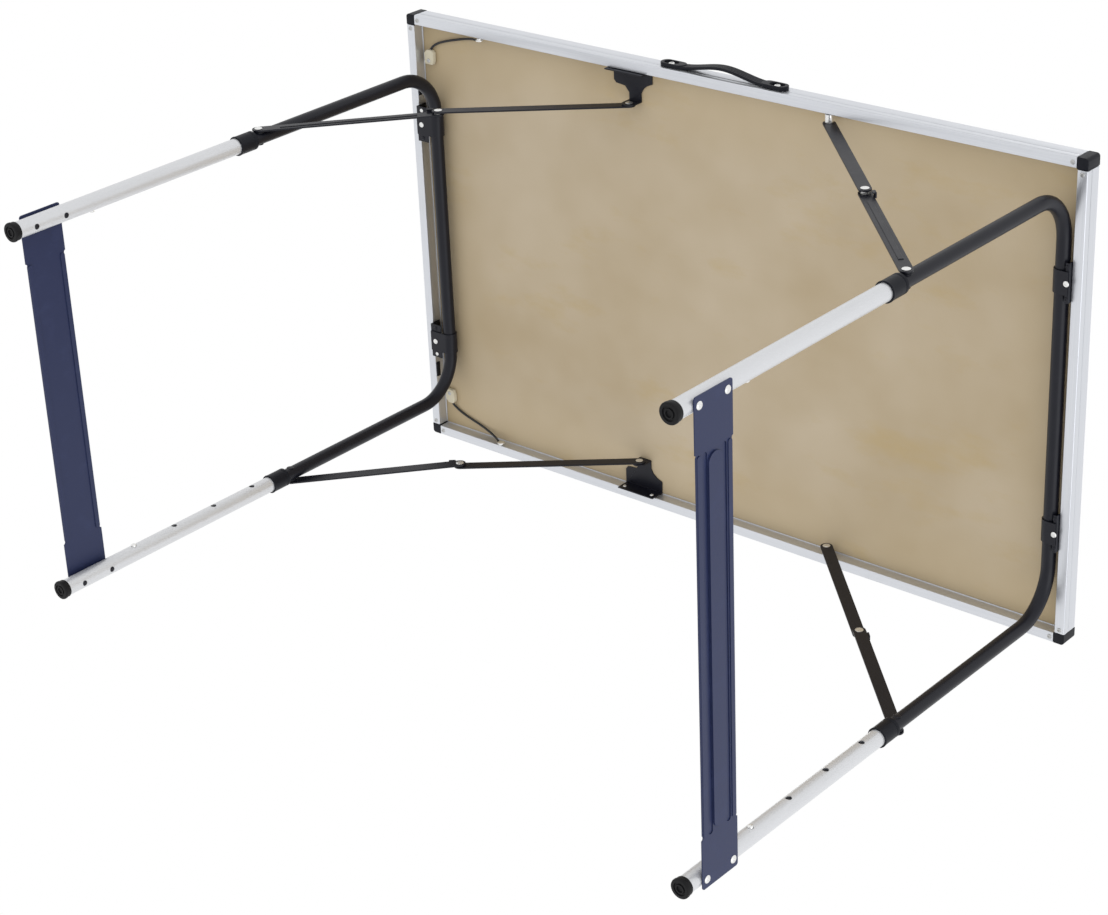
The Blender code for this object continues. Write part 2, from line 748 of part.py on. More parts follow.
def link_outline(start, end, radius):
    """Flat bar with round ends about two points of the XZ plane."""
    along = end - start
    angle = math.degrees(math.atan2(along.y, along.x))
    points = arc(end, radius, angle - 90, angle + 90, 8)
    return points + arc(start, radius, angle + 90, angle + 270, 8)


def make_link(name, start, end, y_low, y_high, bores, origin_point, parts, cutters, root):
    outline = link_outline(start, end, LINK_END_R)
    points = [(u, y_low, v) for u, v in outline]
    obj = prism(name, points, (0, 0, 0), (0, y_high - y_low, 0), parts)
    for index, (centre, radius) in enumerate(bores):
        low = (centre.x, y_low - 0.002, centre.y)
        high = (centre.x, y_high + 0.002, centre.y)
        cut(obj, rod("%s_bore_%d" % (name, index), low, high, radius, cutters, segments=14))
    origin = (origin_point.x, (y_low + y_high) / 2, origin_point.y)
    return finish(obj, "black_coat", root, origin)


def make_brace(word, name, end, side, parts, cutters, root):
    """Two flat links in neighbouring layers; the knee rivet's halves meet between them."""
    knee, leg, rail = knee_of(end)
    tag = word + "_" + name
    pin_bore = LEG_RIVET_R + PIN_CLEARANCE
    leg_near = end["leg_link_y"]
    top_near = end["top_link_y"]
    top_far = top_near + LINK_THICKNESS
    leg_layer = sorted((side * leg_near, side * (leg_near + LINK_THICKNESS)))
    top_layer = sorted((side * top_near, side * top_far))
    leg_link = make_link(
        "leg_link_" + tag, leg, knee, *leg_layer, [(leg, pin_bore)], leg, parts, cutters, root
    )
    boss_far = leg_near + LINK_THICKNESS + KNEE_BOSS
    profile = [
        (0, leg_near - KNEE_INNER_HEAD),
        (KNEE_HEAD_R * 0.7, leg_near - KNEE_INNER_HEAD),
        (KNEE_HEAD_R, leg_near - KNEE_INNER_HEAD / 3),
        (KNEE_HEAD_R, boss_far),
        (0, boss_far),
    ]
    boss = turned("knee_boss_" + tag, profile, (knee.x, 0, knee.y), (0, side, 0), cutters, 14)
    boss.data.transform(Matrix.Translation((-leg.x, -leg_link.location.y, -leg.y)))
    boss.location = leg_link.location
    join(leg_link, boss)
    knee_bore = [(rail, pin_bore), (knee, KNEE_RIVET_R + PIN_CLEARANCE)]
    make_link(
        "top_link_" + tag, rail, knee, *top_layer, knee_bore, rail, parts, cutters, root
    )
    washer = top_near - GAP
    profile = [
        (0, boss_far + GAP),
        (KNEE_HEAD_R, boss_far + GAP),
        (KNEE_HEAD_R, washer),
        (KNEE_RIVET_R, washer),
        (KNEE_RIVET_R, top_far + GAP),
        (KNEE_HEAD_R, top_far + GAP),
        (KNEE_HEAD_R, top_far + GAP + 0.0003),
        (KNEE_HEAD_R * 0.7, top_far + GAP + 0.0009),
        (0, top_far + GAP + 0.0009),
    ]
    rivet = turned("knee_rivet_" + tag, profile, (knee.x, 0, knee.y), (0, side, 0), parts, 14)
    finish(rivet, "zinc", root, (rail.x, side * top_near, rail.y), True)


def cord_route(side):
    """Centre line of the retaining cord from its clip to its rivet on the long rail."""
    high = BOARD_UNDER_Z - GAP - CORD_R - 0.0004
    return [
        (CLIP_X + 0.0030, side * (CLIP_Y + 0.0075), LIP_Z + 0.0125),
        (CLIP_X + 0.0038, side * (CLIP_Y + 0.0091), LIP_Z + 0.0130),
        (CLIP_X + 0.0050, side * (CLIP_Y + 0.0108), LIP_Z + 0.0136),
        (CLIP_X + 0.0075, side * (CLIP_Y + 0.0132), high),
        (CLIP_X + 0.0120, side * (CLIP_Y + 0.0160), high),
        (CLIP_X + 0.0185, side * (CLIP_Y + 0.0188), high),
        (CLIP_X + 0.0260, side * (CLIP_Y + 0.0213), high),
        (CLIP_X + 0.0345, side * (CLIP_Y + 0.0239), high),
        (CLIP_X + 0.0440, side * (CLIP_Y + 0.0264), high),
        (CLIP_X + 0.0540, side * (CLIP_Y + 0.0290), high - 0.0003),
        (CLIP_X + 0.0640, side * (CLIP_Y + 0.0315), high - 0.0014),
        (CLIP_X + 0.0735, side * (CLIP_Y + 0.0336), high - 0.0033),
        (CLIP_X + 0.0815, side * (CLIP_Y + 0.0352), high - 0.0056),
        (CLIP_X + 0.0875, side * (CLIP_Y + 0.0363), LIP_Z + 0.0060),
        (CORD_RIVET_X - 0.0058, side * (CLIP_Y + 0.0370), LIP_Z + 0.0038),
    ]


def make_cord(name, side, parts, root):
    """Short cord, its moulded clip on the board and its rivet on the rail."""
    curve = bpy.data.curves.new("cord_" + name, "CURVE")
    curve.dimensions = "3D"
    curve.bevel_depth = CORD_R
    curve.bevel_resolution = 1
    curve.resolution_u = 2
    curve.use_fill_caps = True
    spline = curve.splines.new("NURBS")
    route = cord_route(side)
    spline.points.add(len(route) - 1)
    for point, place in zip(spline.points, route):
        point.co = (*place, 1.0)
    spline.order_u = 4
    spline.use_endpoint_u = True
    cord = bpy.data.objects.new("retaining_cord_" + name, curve)
    parts.objects.link(cord)
    cord.parent = root
    curve.materials.append(bpy.data.materials["cord_black"])
    high = BOARD_UNDER_Z - GAP
    low = high - 0.0062
    outline = [
        (CLIP_X - 0.0080, CLIP_Y - 0.0130),
        (CLIP_X + 0.0060, CLIP_Y - 0.0130),
        (CLIP_X + 0.0080, CLIP_Y - 0.0060),
        (CLIP_X + 0.0080, CLIP_Y + 0.0030),
        (CLIP_X + 0.0050, CLIP_Y + 0.0068),
        (CLIP_X - 0.0030, CLIP_Y + 0.0068),
        (CLIP_X - 0.0080, CLIP_Y + 0.0020),
    ]
    points = [(u, side * v, low) for u, v in outline]
    clip = prism("cord_clip_" + name, points, (0, 0, 0), (0, 0, high - low), parts)
    bevel(clip, 0.0008, 1)
    finish(clip, "cream_plastic", root)
    wall = side * (RAIL_INNER_Y - GAP)
    profile = [(0, 0), (0.0032, 0), (0.0032, 0.0020), (0.0050, 0.0020), (0.0050, 0.0036), (0, 0.0046)]
    place = (CORD_RIVET_X, wall, LIP_Z + 0.0030)
    rivet = turned("cord_rivet_" + name, profile, place, (0, -side, 0), parts, 16)
    finish(rivet, "zinc", root)


def build():
    clear_scene()
    make_materials()
    parts = new_collection("folding_table")
    cutters = new_collection("cutters")
    root = bpy.data.objects.new("table_frame", None)
    root.location = (0, SHIFT_Y, 0)
    parts.objects.link(root)
    make_board(parts, root)
    for name, side in SIDES.items():
        make_rail("long_rail_" + name, True, side, parts, cutters, root)
    for word, end in ENDS.items():
        make_rail("end_rail_" + word, False, end["side"], parts, cutters, root)
        for name, side in SIDES.items():
            make_corner("corner_%s_%s" % (word, name), end["side"], side, parts, cutters, root)
    make_handle(parts, cutters, root)
    for word, end in ENDS.items():
        make_leg_frame(word, end, parts, cutters, root)
        make_panel(word, end, parts, root)
        for name, side in SIDES.items():
            make_lower_leg(word, name, end, side, parts, cutters, root)
            make_clamp(word, name, end, side, parts, root)
            make_brace(word, name, end, side, parts, cutters, root)
    for name, side in SIDES.items():
        make_bracket(name, side, parts, cutters, root)
        make_rail_stud(name, side, parts, cutters, root)
        make_cord(name, side, parts, root)
    for helper in cutters.objects:
        helper.parent = root


build()
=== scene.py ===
"""Looks of the folding table: finishes for its frame and the fine pieces that ride on it."""

import json
import math

import bpy
from mathutils import Matrix, Vector


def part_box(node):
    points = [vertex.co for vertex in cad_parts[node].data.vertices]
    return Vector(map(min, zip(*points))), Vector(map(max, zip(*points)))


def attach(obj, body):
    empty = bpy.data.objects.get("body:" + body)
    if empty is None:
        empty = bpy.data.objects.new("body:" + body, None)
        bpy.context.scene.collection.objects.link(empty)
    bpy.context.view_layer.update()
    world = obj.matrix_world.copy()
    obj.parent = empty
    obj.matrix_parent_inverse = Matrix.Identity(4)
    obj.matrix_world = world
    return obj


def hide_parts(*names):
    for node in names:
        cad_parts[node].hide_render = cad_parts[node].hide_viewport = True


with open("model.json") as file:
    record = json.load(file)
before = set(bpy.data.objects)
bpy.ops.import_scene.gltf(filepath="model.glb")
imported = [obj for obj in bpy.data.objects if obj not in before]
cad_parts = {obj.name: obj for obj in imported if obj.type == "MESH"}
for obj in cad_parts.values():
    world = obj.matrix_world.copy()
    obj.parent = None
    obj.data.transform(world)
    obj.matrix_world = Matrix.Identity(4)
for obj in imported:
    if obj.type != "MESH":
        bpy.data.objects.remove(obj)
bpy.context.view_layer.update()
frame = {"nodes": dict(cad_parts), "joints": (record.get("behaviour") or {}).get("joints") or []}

bl_info = {
    "name": "Folding Table Looks",
    "version": (1, 0, 0),
    "blender": (4, 5, 0),
    "location": "View3D > Sidebar > Folding Table",
    "description": "Finishes and fine pieces of a folding table with telescopic legs",
    "category": "Object",
}

ENDS = ("left", "right")
SIDES = ("front", "back")
TOP_BODY = "tabletop"


def corners_of(node):
    low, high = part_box(node)
    return Vector(low), Vector(high)


def centre_of(node):
    low, high = corners_of(node)
    return (low + high) / 2


def joint_place(name):
    """Where a joint turns or slides, with the table at rest."""
    joint = next(item for item in frame["joints"] if item["name"] == name)
    return Vector(joint["pos_m"])


def end_sign(end):
    return -1 if end == "left" else 1


def side_sign(side):
    return -1 if side == "front" else 1


MIDDLE_Y = centre_of("top_board").y


def reach_of(node):
    """How near and how far the node is from the table's middle line, across the table."""
    return sorted(abs(corner.y - MIDDLE_Y) for corner in corners_of(node))


LIP_Z = corners_of("long_rail_front")[0].z
BOARD_UNDER_Z = corners_of("top_board")[0].z
FRONT_FACE_Y = corners_of("long_rail_front")[0].y
RAIL_INNER_Y = corners_of("long_rail_front")[1].y
TUBE_RADIUS = 0.0085
LOWER_RADIUS = 0.0100
LOWER_BORE = 0.0088
LINK_SHEET = 0.002
KNEE_BOSS_RADIUS = 0.0051
TOP_HALF_LENGTH = 0.5
TOP_HALF_WIDTH = 0.3


# Settings that a user would change


def colour_setting(name, description, default):
    return bpy.props.FloatVectorProperty(
        name=name,
        description=description,
        subtype="COLOR",
        size=3,
        min=0.0,
        max=1.0,
        default=default,
    )


def length_setting(name, description, default, low, high):
    return bpy.props.FloatProperty(
        name=name, description=description, default=default, min=low, max=high, unit="LENGTH"
    )


class FinishSettings(bpy.types.PropertyGroup):
    """Colours of the table's finishes."""

    board: colour_setting("Board", "Colour of the sealed fibreboard", (0.456, 0.377, 0.262))
    coat: colour_setting(
        "Powder coat", "Colour of the coat on tubes and sheet steel", (0.0055, 0.0060, 0.0110)
    )
    panel: colour_setting(
        "Panel coat", "Colour of the coat on the two cross panels", (0.0190, 0.0270, 0.0780)
    )
    silver: colour_setting(
        "Silver coat", "Colour of the painted lower tubes", (0.70, 0.71, 0.73)
    )
    plastic: colour_setting(
        "Black plastic", "Colour of the moulded black plastic", (0.0060, 0.0070, 0.0110)
    )


class HardwareSettings(bpy.types.PropertyGroup):
    """Sizes of the small hardware."""

    screw_radius: length_setting(
        "Corner screw", "Radius of a corner screw's head", 0.0029, 0.0015, 0.004
    )
    panel_rivet_radius: length_setting(
        "Panel rivet", "Radius of the rivets that hold the cross panels", 0.0045, 0.003, 0.006
    )
    brace_rivet_radius: length_setting(
        "Brace rivet", "Radius of the rivet heads at the ends of the braces", 0.0048, 0.003, 0.0052
    )
    small_rivet_radius: length_setting(
        "Small rivet", "Radius of the rivets on clamps and brackets", 0.0026, 0.0015, 0.004
    )


class StudioSettings(bpy.types.PropertyGroup):
    """Camera and light."""

    lens: bpy.props.FloatProperty(
        name="Lens",
        description="Focal length of the camera on a 36 mm sensor",
        default=85.14,
        min=20.0,
        max=200.0,
        unit="CAMERA",
    )
    light: bpy.props.FloatProperty(
        name="Light",
        description="Strength of the studio lights",
        default=1.0,
        min=0.0,
        max=4.0,
        subtype="FACTOR",
    )


# Shader maths


class Value:
    """A shader socket that can be added, subtracted, multiplied and compared."""

    def __init__(self, tree, socket):
        self.tree = tree
        self.socket = socket

    def _math(self, operation, first, second=None):
        node = self.tree.nodes.new("ShaderNodeMath")
        node.operation = operation
        for slot, item in enumerate((first, second)):
            if item is None:
                continue
            if isinstance(item, Value):
                self.tree.links.new(item.socket, node.inputs[slot])
            else:
                node.inputs[slot].default_value = item
        return Value(self.tree, node.outputs[0])

    def __add__(self, other):
        return self._math("ADD", self, other)

    def __radd__(self, other):
        return self._math("ADD", other, self)

    def __sub__(self, other):
        return self._math("SUBTRACT", self, other)

    def __rsub__(self, other):
        return self._math("SUBTRACT", other, self)

    def __mul__(self, other):
        return self._math("MULTIPLY", self, other)

    def __rmul__(self, other):
        return self._math("MULTIPLY", other, self)

    def __pow__(self, other):
        return self._math("POWER", self, other)

    def __rpow__(self, other):
        return self._math("POWER", other, self)

    def __abs__(self):
        return self._math("ABSOLUTE", self)

    def __lt__(self, other):
        return self._math("LESS_THAN", self, other)

    def __gt__(self, other):
        return self._math("GREATER_THAN", self, other)

    def clamped(self):
        """The value, held between 0 and 1."""
        result = self._math("ADD", self, 0.0)
        result.socket.node.use_clamp = True
        return result


COLOUR_MIX_SOCKETS = (0, 6, 7)  # factor, first colour, second colour
COLOUR_MIX_RESULT = 2


class Finish:
    """A new material with its shader, and short ways to add nodes to it."""

    def __init__(self, name, base, metallic=0.0, roughness=0.5, specular=0.5):
        self.material = bpy.data.materials.new(name)
        self.material.use_nodes = True
        self.tree = self.material.node_tree
        self.shader = self.tree.nodes["Principled BSDF"]
        self.feed(self.shader.inputs["Base Color"], base)
        self.feed(self.shader.inputs["Metallic"], metallic)
        self.feed(self.shader.inputs["Roughness"], roughness)
        self.feed(self.shader.inputs["Specular IOR Level"], specular)

    def node(self, kind, settings=None, sockets=None):
        """A node of that type: its settings are made first, then its sockets filled or linked."""
        node = self.tree.nodes.new(kind)
        for key, value in (settings or {}).items():
            setattr(node, key, value)
        for key, value in (sockets or {}).items():
            self.feed(node.inputs[key], value)
        return node

    def feed(self, socket, value):
        if isinstance(value, Value):
            self.tree.links.new(value.socket, socket)
        elif isinstance(value, bpy.types.NodeSocket):
            self.tree.links.new(value, socket)
        elif socket.type == "RGBA":
            socket.default_value = (*value, 1.0)
        else:
            socket.default_value = value

    def place(self, stretch=(1.0, 1.0, 1.0)):
        """Object coordinates, stretched."""
        where = self.node("ShaderNodeTexCoord").outputs["Object"]
        mapping = self.node("ShaderNodeMapping", None, {"Vector": where, "Scale": stretch})
        return mapping.outputs["Vector"]

    def axes(self):
        """The X, Y and Z of Object coordinates."""
        where = self.node("ShaderNodeTexCoord").outputs["Object"]
        split = self.node("ShaderNodeSeparateXYZ", None, {"Vector": where})
        return [Value(self.tree, output) for output in split.outputs]

    def noise(self, scale, detail=4.0, roughness=0.5, stretch=(1.0, 1.0, 1.0)):
        sockets = {"Scale": scale, "Detail": detail, "Roughness": roughness}
        sockets["Vector"] = self.place(stretch)
        return Value(self.tree, self.node("ShaderNodeTexNoise", None, sockets).outputs["Fac"])

    def mixed(self, factor, first, second):
        """Colour between two colours."""
        sockets = dict(zip(COLOUR_MIX_SOCKETS, (factor, first, second)))
        node = self.node("ShaderNodeMix", {"data_type": "RGBA"}, sockets)
        return node.outputs[COLOUR_MIX_RESULT]

    def colour(self, value):
        self.feed(self.shader.inputs["Base Color"], value)

    def rough(self, value):
        self.feed(self.shader.inputs["Roughness"], value)

    def bump(self, height, distance, strength=1.0):
        sockets = {"Strength": strength, "Distance": distance, "Height": height}
        node = self.node("ShaderNodeBump", None, sockets)
        self.feed(self.shader.inputs["Normal"], node.outputs["Normal"])


def shade(colour, amount):
    return tuple(min(1.0, channel * amount) for channel in colour)


def board_finish(colour):
    """Sealed tan fibreboard: clouds, rubbed smears, fine fibre and yellowed rims."""
    finish = Finish("board_tan_sealed", colour, roughness=0.5, specular=0.22)
    clouds = finish.noise(5.0, 3.0, 0.55)
    smears = finish.noise(9.0, 5.0, 0.65, (0.7, 1.6, 1.0))
    fibre = finish.noise(420.0, 3.0, 0.6, (1.0, 2.2, 1.0))
    x, y, _ = finish.axes()
    to_end = (TOP_HALF_LENGTH - abs(x)) * 9.0
    to_side = (TOP_HALF_WIDTH - abs(y - MIDDLE_Y)) * 9.0
    rim = (1.0 - to_end).clamped() + (1.0 - to_side).clamped()
    rim = (rim * clouds * 0.9).clamped()
    light = (colour[0] * 1.10, colour[1] * 1.12, colour[2] * 1.18)
    dark = (colour[0] * 0.90, colour[1] * 0.86, colour[2] * 0.78)
    yellow = (colour[0] * 0.96, colour[1] * 0.86, colour[2] * 0.58)
    tone = finish.mixed(((clouds - 0.30) * 2.2).clamped(), dark, light)
    tone = finish.mixed(((smears - 0.56) * 2.6).clamped(), tone, yellow)
    tone = finish.mixed(rim * 0.55, tone, yellow)
    tone = finish.mixed(((fibre - 0.62) * 1.6).clamped(), tone, shade(colour, 0.80))
    finish.colour(tone)
    finish.rough(0.36 + smears * 0.22)
    finish.bump(fibre, 0.00008, 0.6)
    return finish.material


def rail_finish(name, along_x):
    """Satin extrusion with fine draw lines along its length and soft handling marks."""
    finish = Finish(name, (0.70, 0.71, 0.75), metallic=0.88, roughness=0.34)
    stretch = (0.9, 260.0, 260.0) if along_x else (260.0, 0.9, 260.0)
    lines = finish.noise(9.0, 3.0, 0.6, stretch)
    marks = finish.noise(14.0, 4.0, 0.6)
    tone = finish.mixed(((lines - 0.35) * 1.4).clamped(), (0.63, 0.65, 0.69), (0.78, 0.79, 0.82))
    tone = finish.mixed(((marks - 0.60) * 1.8).clamped(), tone, (0.58, 0.59, 0.62))
    finish.colour(tone)
    finish.rough(0.27 + lines * 0.12 + marks * 0.08)
    finish.bump(lines, 0.00004, 0.5)
    return finish.material


def coat_finish(name, colour, scale=620.0):
    """Powder coat: orange-peel skin, faint dust and a blue-black sheen."""
    finish = Finish(name, colour, roughness=0.38, specular=0.28)
    peel = finish.noise(scale, 2.0, 0.5)
    dust = finish.noise(38.0, 5.0, 0.7)
    pale = tuple(channel * 1.3 + 0.004 for channel in colour)
    tone = finish.mixed(((dust - 0.52) * 2.4).clamped(), colour, pale)
    finish.colour(tone)
    finish.rough(0.30 + dust * 0.16)
    finish.bump(peel, 0.00006, 0.7)
    return finish


def silver_finish(colour):
    """Silver paint with fine metal flake and light rub marks along the tube."""
    finish = Finish("silver_paint", colour, metallic=0.45, roughness=0.34)
    flake = finish.noise(1500.0, 1.0, 0.5)
    rub = finish.noise(30.0, 4.0, 0.6, (3.0, 3.0, 0.25))
    tone = finish.mixed(((flake - 0.4) * 1.5).clamped(), shade(colour, 0.90), shade(colour, 1.10))
    tone = finish.mixed(((rub - 0.58) * 2.0).clamped(), tone, shade(colour, 0.80))
    finish.colour(tone)
    finish.rough(0.28 + rub * 0.16)
    finish.bump(flake, 0.00002, 0.4)
    return finish.material


def plastic_finish(name, colour, roughness=0.42):
    """Moulded plastic with a fine spark-eroded grain."""
    finish = Finish(name, colour, roughness=roughness, specular=0.17)
    grain = finish.noise(900.0, 3.0, 0.6)
    wear = finish.noise(26.0, 4.0, 0.6)
    pale = tuple(channel * 1.3 + 0.005 for channel in colour)
    finish.colour(finish.mixed(((wear - 0.55) * 2.0).clamped(), colour, pale))
    finish.rough(roughness - 0.08 + grain * 0.12 + wear * 0.06)
    finish.bump(grain, 0.00005, 0.6)
    return finish.material


def zinc_finish(name, tone):
    """Bright zinc plate with faint spangle."""
    finish = Finish(name, shade((0.82, 0.82, 0.81), tone), metallic=0.9, roughness=0.28)
    spangle = finish.noise(420.0, 3.0, 0.6)
    dull = shade((0.70, 0.70, 0.70), tone)
    finish.colour(finish.mixed(spangle, dull, shade((0.92, 0.92, 0.90), tone)))
    finish.rough(0.20 + spangle * 0.22)
    finish.bump(spangle, 0.00003, 0.4)
    return finish.material


def cord_finish():
    """Braided elastic cord."""
    finish = Finish("cord_braid", (0.018, 0.018, 0.020), roughness=0.75)
    bands = {"wave_type": "BANDS", "bands_direction": "DIAGONAL"}
    weave = finish.node("ShaderNodeTexWave", bands, {"Vector": finish.place(), "Scale": 320.0})
    braid = Value(finish.tree, weave.outputs["Fac"])
    finish.colour(finish.mixed(braid, (0.010, 0.010, 0.012), (0.040, 0.040, 0.044)))
    finish.bump(braid, 0.0003, 0.8)
    return finish.material


def leg_link_finish(name, colour, knee, link_y):
    """Powder coat on a brace link, with the bright rivet boss at its knee."""
    finish = coat_finish(name, colour)
    x, y, z = finish.axes()
    near_knee = (((x - knee.x) ** 2 + (z - knee.z) ** 2) ** 0.5) < KNEE_BOSS_RADIUS
    off_plate = abs(abs(y - MIDDLE_Y) - (link_y + LINK_SHEET / 2)) > LINK_SHEET / 2 + 0.00005
    rivet = near_knee * off_plate
    tone = finish.shader.inputs["Base Color"].links[0].from_socket
    finish.colour(finish.mixed(rivet, tone, (0.80, 0.80, 0.79)))
    finish.feed(finish.shader.inputs["Metallic"], rivet * 0.9)
    return finish.material


FINISHES = {}


def finish_named(name):
    """The material of a finish; all of them are made when the first is asked for."""
    if not FINISHES:
        make_finishes(bpy.context.scene.table_finishes)
    return FINISHES[name]


def make_finishes(settings):
    FINISHES["board"] = board_finish(tuple(settings.board))
    FINISHES["rail_x"] = rail_finish("rail_satin_long", True)
    FINISHES["rail_y"] = rail_finish("rail_satin_end", False)
    FINISHES["coat"] = coat_finish("powder_coat_black", tuple(settings.coat)).material
    FINISHES["panel"] = coat_finish("powder_coat_panel", tuple(settings.panel), 420.0).material
    FINISHES["silver"] = silver_finish(tuple(settings.silver))
    FINISHES["plastic"] = plastic_finish("plastic_black", tuple(settings.plastic))
    FINISHES["rubber"] = plastic_finish("plastic_foot", (0.006, 0.006, 0.007), 0.45)
    FINISHES["cream"] = plastic_finish("plastic_cream", (0.60, 0.55, 0.42), 0.40)
    FINISHES["zinc"] = zinc_finish("zinc_plate", 1.0)
    FINISHES["screw"] = zinc_finish("zinc_screw", 0.62)
    FINISHES["cord"] = cord_finish()


# Modelling helpers


def clear_selection():
    if bpy.context.mode != "OBJECT":
        bpy.ops.object.mode_set(mode="OBJECT")
    bpy.ops.object.select_all(action="DESELECT")


def make_active(obj):
    clear_selection()
    obj.select_set(True)
    bpy.context.view_layer.objects.active = obj


def lathe(name, profile, segments=40, closed=False):
    """Turned piece on the Z axis: a ring is pulled from one (radius, height) to the next."""
    clear_selection()
    radius, height = profile[0]
    bpy.ops.mesh.primitive_circle_add(
        vertices=segments,
        radius=radius,
        fill_type="NOTHING" if closed else "NGON",
        location=(0, 0, height),
    )
    obj = bpy.context.object
    obj.name = name
    bpy.ops.object.mode_set(mode="EDIT")
    bpy.ops.mesh.select_all(action="SELECT")
    for new_radius, new_height in profile[1:]:
        rise = {"value": (0, 0, new_height - height)}
        bpy.ops.mesh.extrude_region_move(TRANSFORM_OT_translate=rise)
        grow = new_radius / radius
        bpy.ops.transform.resize(value=(grow, grow, 1), center_override=(0, 0, new_height))
        radius, height = new_radius, new_height
    bpy.ops.mesh.select_all(action="SELECT")
    bpy.ops.mesh.remove_doubles(threshold=1e-6)
    bpy.ops.mesh.normals_make_consistent(inside=False)
    bpy.ops.object.mode_set(mode="OBJECT")
    return obj


def settle(obj, smooth_deg=35.0):
    """Applies the piece's place and modifiers, and shades it."""
    make_active(obj)
    for modifier in list(obj.modifiers):
        bpy.ops.object.modifier_apply(modifier=modifier.name)
    bpy.ops.object.transform_apply(location=True, rotation=True, scale=True)
    bpy.ops.object.shade_smooth_by_angle(angle=math.radians(smooth_deg))
    normals = obj.modifiers.new("normals", "WEIGHTED_NORMAL")
    normals.keep_sharp = True
    bpy.ops.object.modifier_apply(modifier=normals.name)
    return obj


def fit_out(obj, finish, body):
    """Gives a finished piece its finish and its body."""
    obj.data.materials.clear()
    obj.data.materials.append(finish_named(finish))
    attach(obj, body)
    return obj


def stand(obj, at, facing):
    """Turns a piece's +Z to face that way and puts its base at a point."""
    turn = Vector(facing).to_track_quat("Z", "Y").to_matrix().to_4x4()
    obj.matrix_world = Matrix.Translation(Vector(at)) @ turn
    return obj


def stamp(master, name, at, facing, finish, body):
    """A copy of a small master piece with its own mesh, at its place."""
    copy = master.copy()
    copy.data = master.data.copy()
    copy.name = name
    bpy.context.scene.collection.objects.link(copy)
    stand(copy, at, facing)
    settle(copy)
    return fit_out(copy, finish, body)


def discard(*masters):
    for master in masters:
        bpy.data.objects.remove(master, do_unlink=True)


def pick(obj, kind, wanted):
    """Opens a piece in edit mode with the vertices or edges that a test wants selected."""
    make_active(obj)
    bpy.ops.object.mode_set(mode="EDIT")
    bpy.ops.mesh.select_mode(type=kind)
    bpy.ops.mesh.select_all(action="DESELECT")
    bpy.ops.object.mode_set(mode="OBJECT")
    for part in obj.data.vertices if kind == "VERT" else obj.data.edges:
        part.select = wanted(part)
    bpy.ops.object.mode_set(mode="EDIT")


def pull_apart(obj, distance):
    """Moves the two halves of a round piece apart along X, into a racetrack outline."""
    for sign in (-1, 1):
        pick(obj, "VERT", lambda vertex: vertex.co.x * sign > 1e-6)
        bpy.ops.transform.translate(value=(sign * distance, 0, 0))
        bpy.ops.object.mode_set(mode="OBJECT")


def block(name, low, high, rounding=0.0, segments=3):
    """Box between two corners, with rounded edges if asked for."""
    clear_selection()
    middle = [(a + b) / 2 for a, b in zip(low, high)]
    bpy.ops.mesh.primitive_cube_add(size=1, location=middle)
    obj = bpy.context.object
    obj.name = name
    obj.scale = [abs(b - a) for a, b in zip(low, high)]
    bpy.ops.object.transform_apply(location=True, rotation=False, scale=True)
    if rounding:
        bpy.ops.object.mode_set(mode="EDIT")
        bpy.ops.mesh.select_all(action="SELECT")
        bpy.ops.mesh.bevel(offset=rounding, segments=segments, affect="EDGES")
        bpy.ops.object.mode_set(mode="OBJECT")
    return obj


def centred_block(name, size, rounding=0.0, segments=3):
    half = Vector(size) / 2
    return block(name, -half, half, rounding, segments)


def rivet_head(radius, height, dimple=True):
    """Domed rivet head, with the small pit that its mandrel leaves."""
    profile = [
        (radius * 0.98, 0.0),
        (radius, height * 0.18),
        (radius * 0.95, height * 0.48),
        (radius * 0.78, height * 0.82),
        (radius * 0.52, height * 0.98),
    ]
    if dimple:
        profile += [(radius * 0.34, height), (radius * 0.27, height * 0.62)]
    else:
        profile += [(radius * 0.22, height)]
    return lathe("rivet_master", profile, 28)


def screw_head(radius, height):
    """Pan screw head with a cross recess."""
    profile = [
        (radius * 0.97, 0.0),
        (radius, height * 0.22),
        (radius * 0.90, height * 0.70),
        (radius * 0.60, height),
    ]
    head = lathe("screw_master", profile, 24)
    for turn in (0.0, math.pi / 2):
        clear_selection()
        bpy.ops.mesh.primitive_cube_add(size=1, location=(0, 0, height), rotation=(0, 0, turn))
        slot_tool = bpy.context.object
        slot_tool.scale = (radius * 1.05, radius * 0.26, height * 0.9)
        cut_with(head, slot_tool)
    return head


def cut_with(obj, tool, operation="DIFFERENCE"):
    """Cuts a tool out of a piece and throws the tool away."""
    modifier = obj.modifiers.new("cut", "BOOLEAN")
    modifier.operation = operation
    modifier.solver = "EXACT"
    modifier.object = tool
    make_active(obj)
    bpy.ops.object.modifier_apply(modifier=modifier.name)
    discard(tool)


def soften(node, finish, width=0.0004):
    """A carried-over frame piece: its finish, and small rounded edges that catch the light."""
    obj = frame["nodes"][node]
    obj.data.materials.clear()
    obj.data.materials.append(finish_named(finish) if isinstance(finish, str) else finish)
    for polygon in obj.data.polygons:
        polygon.use_smooth = True
    weld = obj.modifiers.new("weld", "WELD")
    weld.merge_threshold = 0.00001
    if width:
        rounding = obj.modifiers.new("rounding", "BEVEL")
        rounding.width = width
        rounding.segments = 2
        rounding.limit_method = "ANGLE"
        rounding.angle_limit = math.radians(50)
        rounding.use_clamp_overlap = True
        rounding.miter_outer = "MITER_ARC"
    normals = obj.modifiers.new("normals", "WEIGHTED_NORMAL")
    normals.keep_sharp = True
    return obj


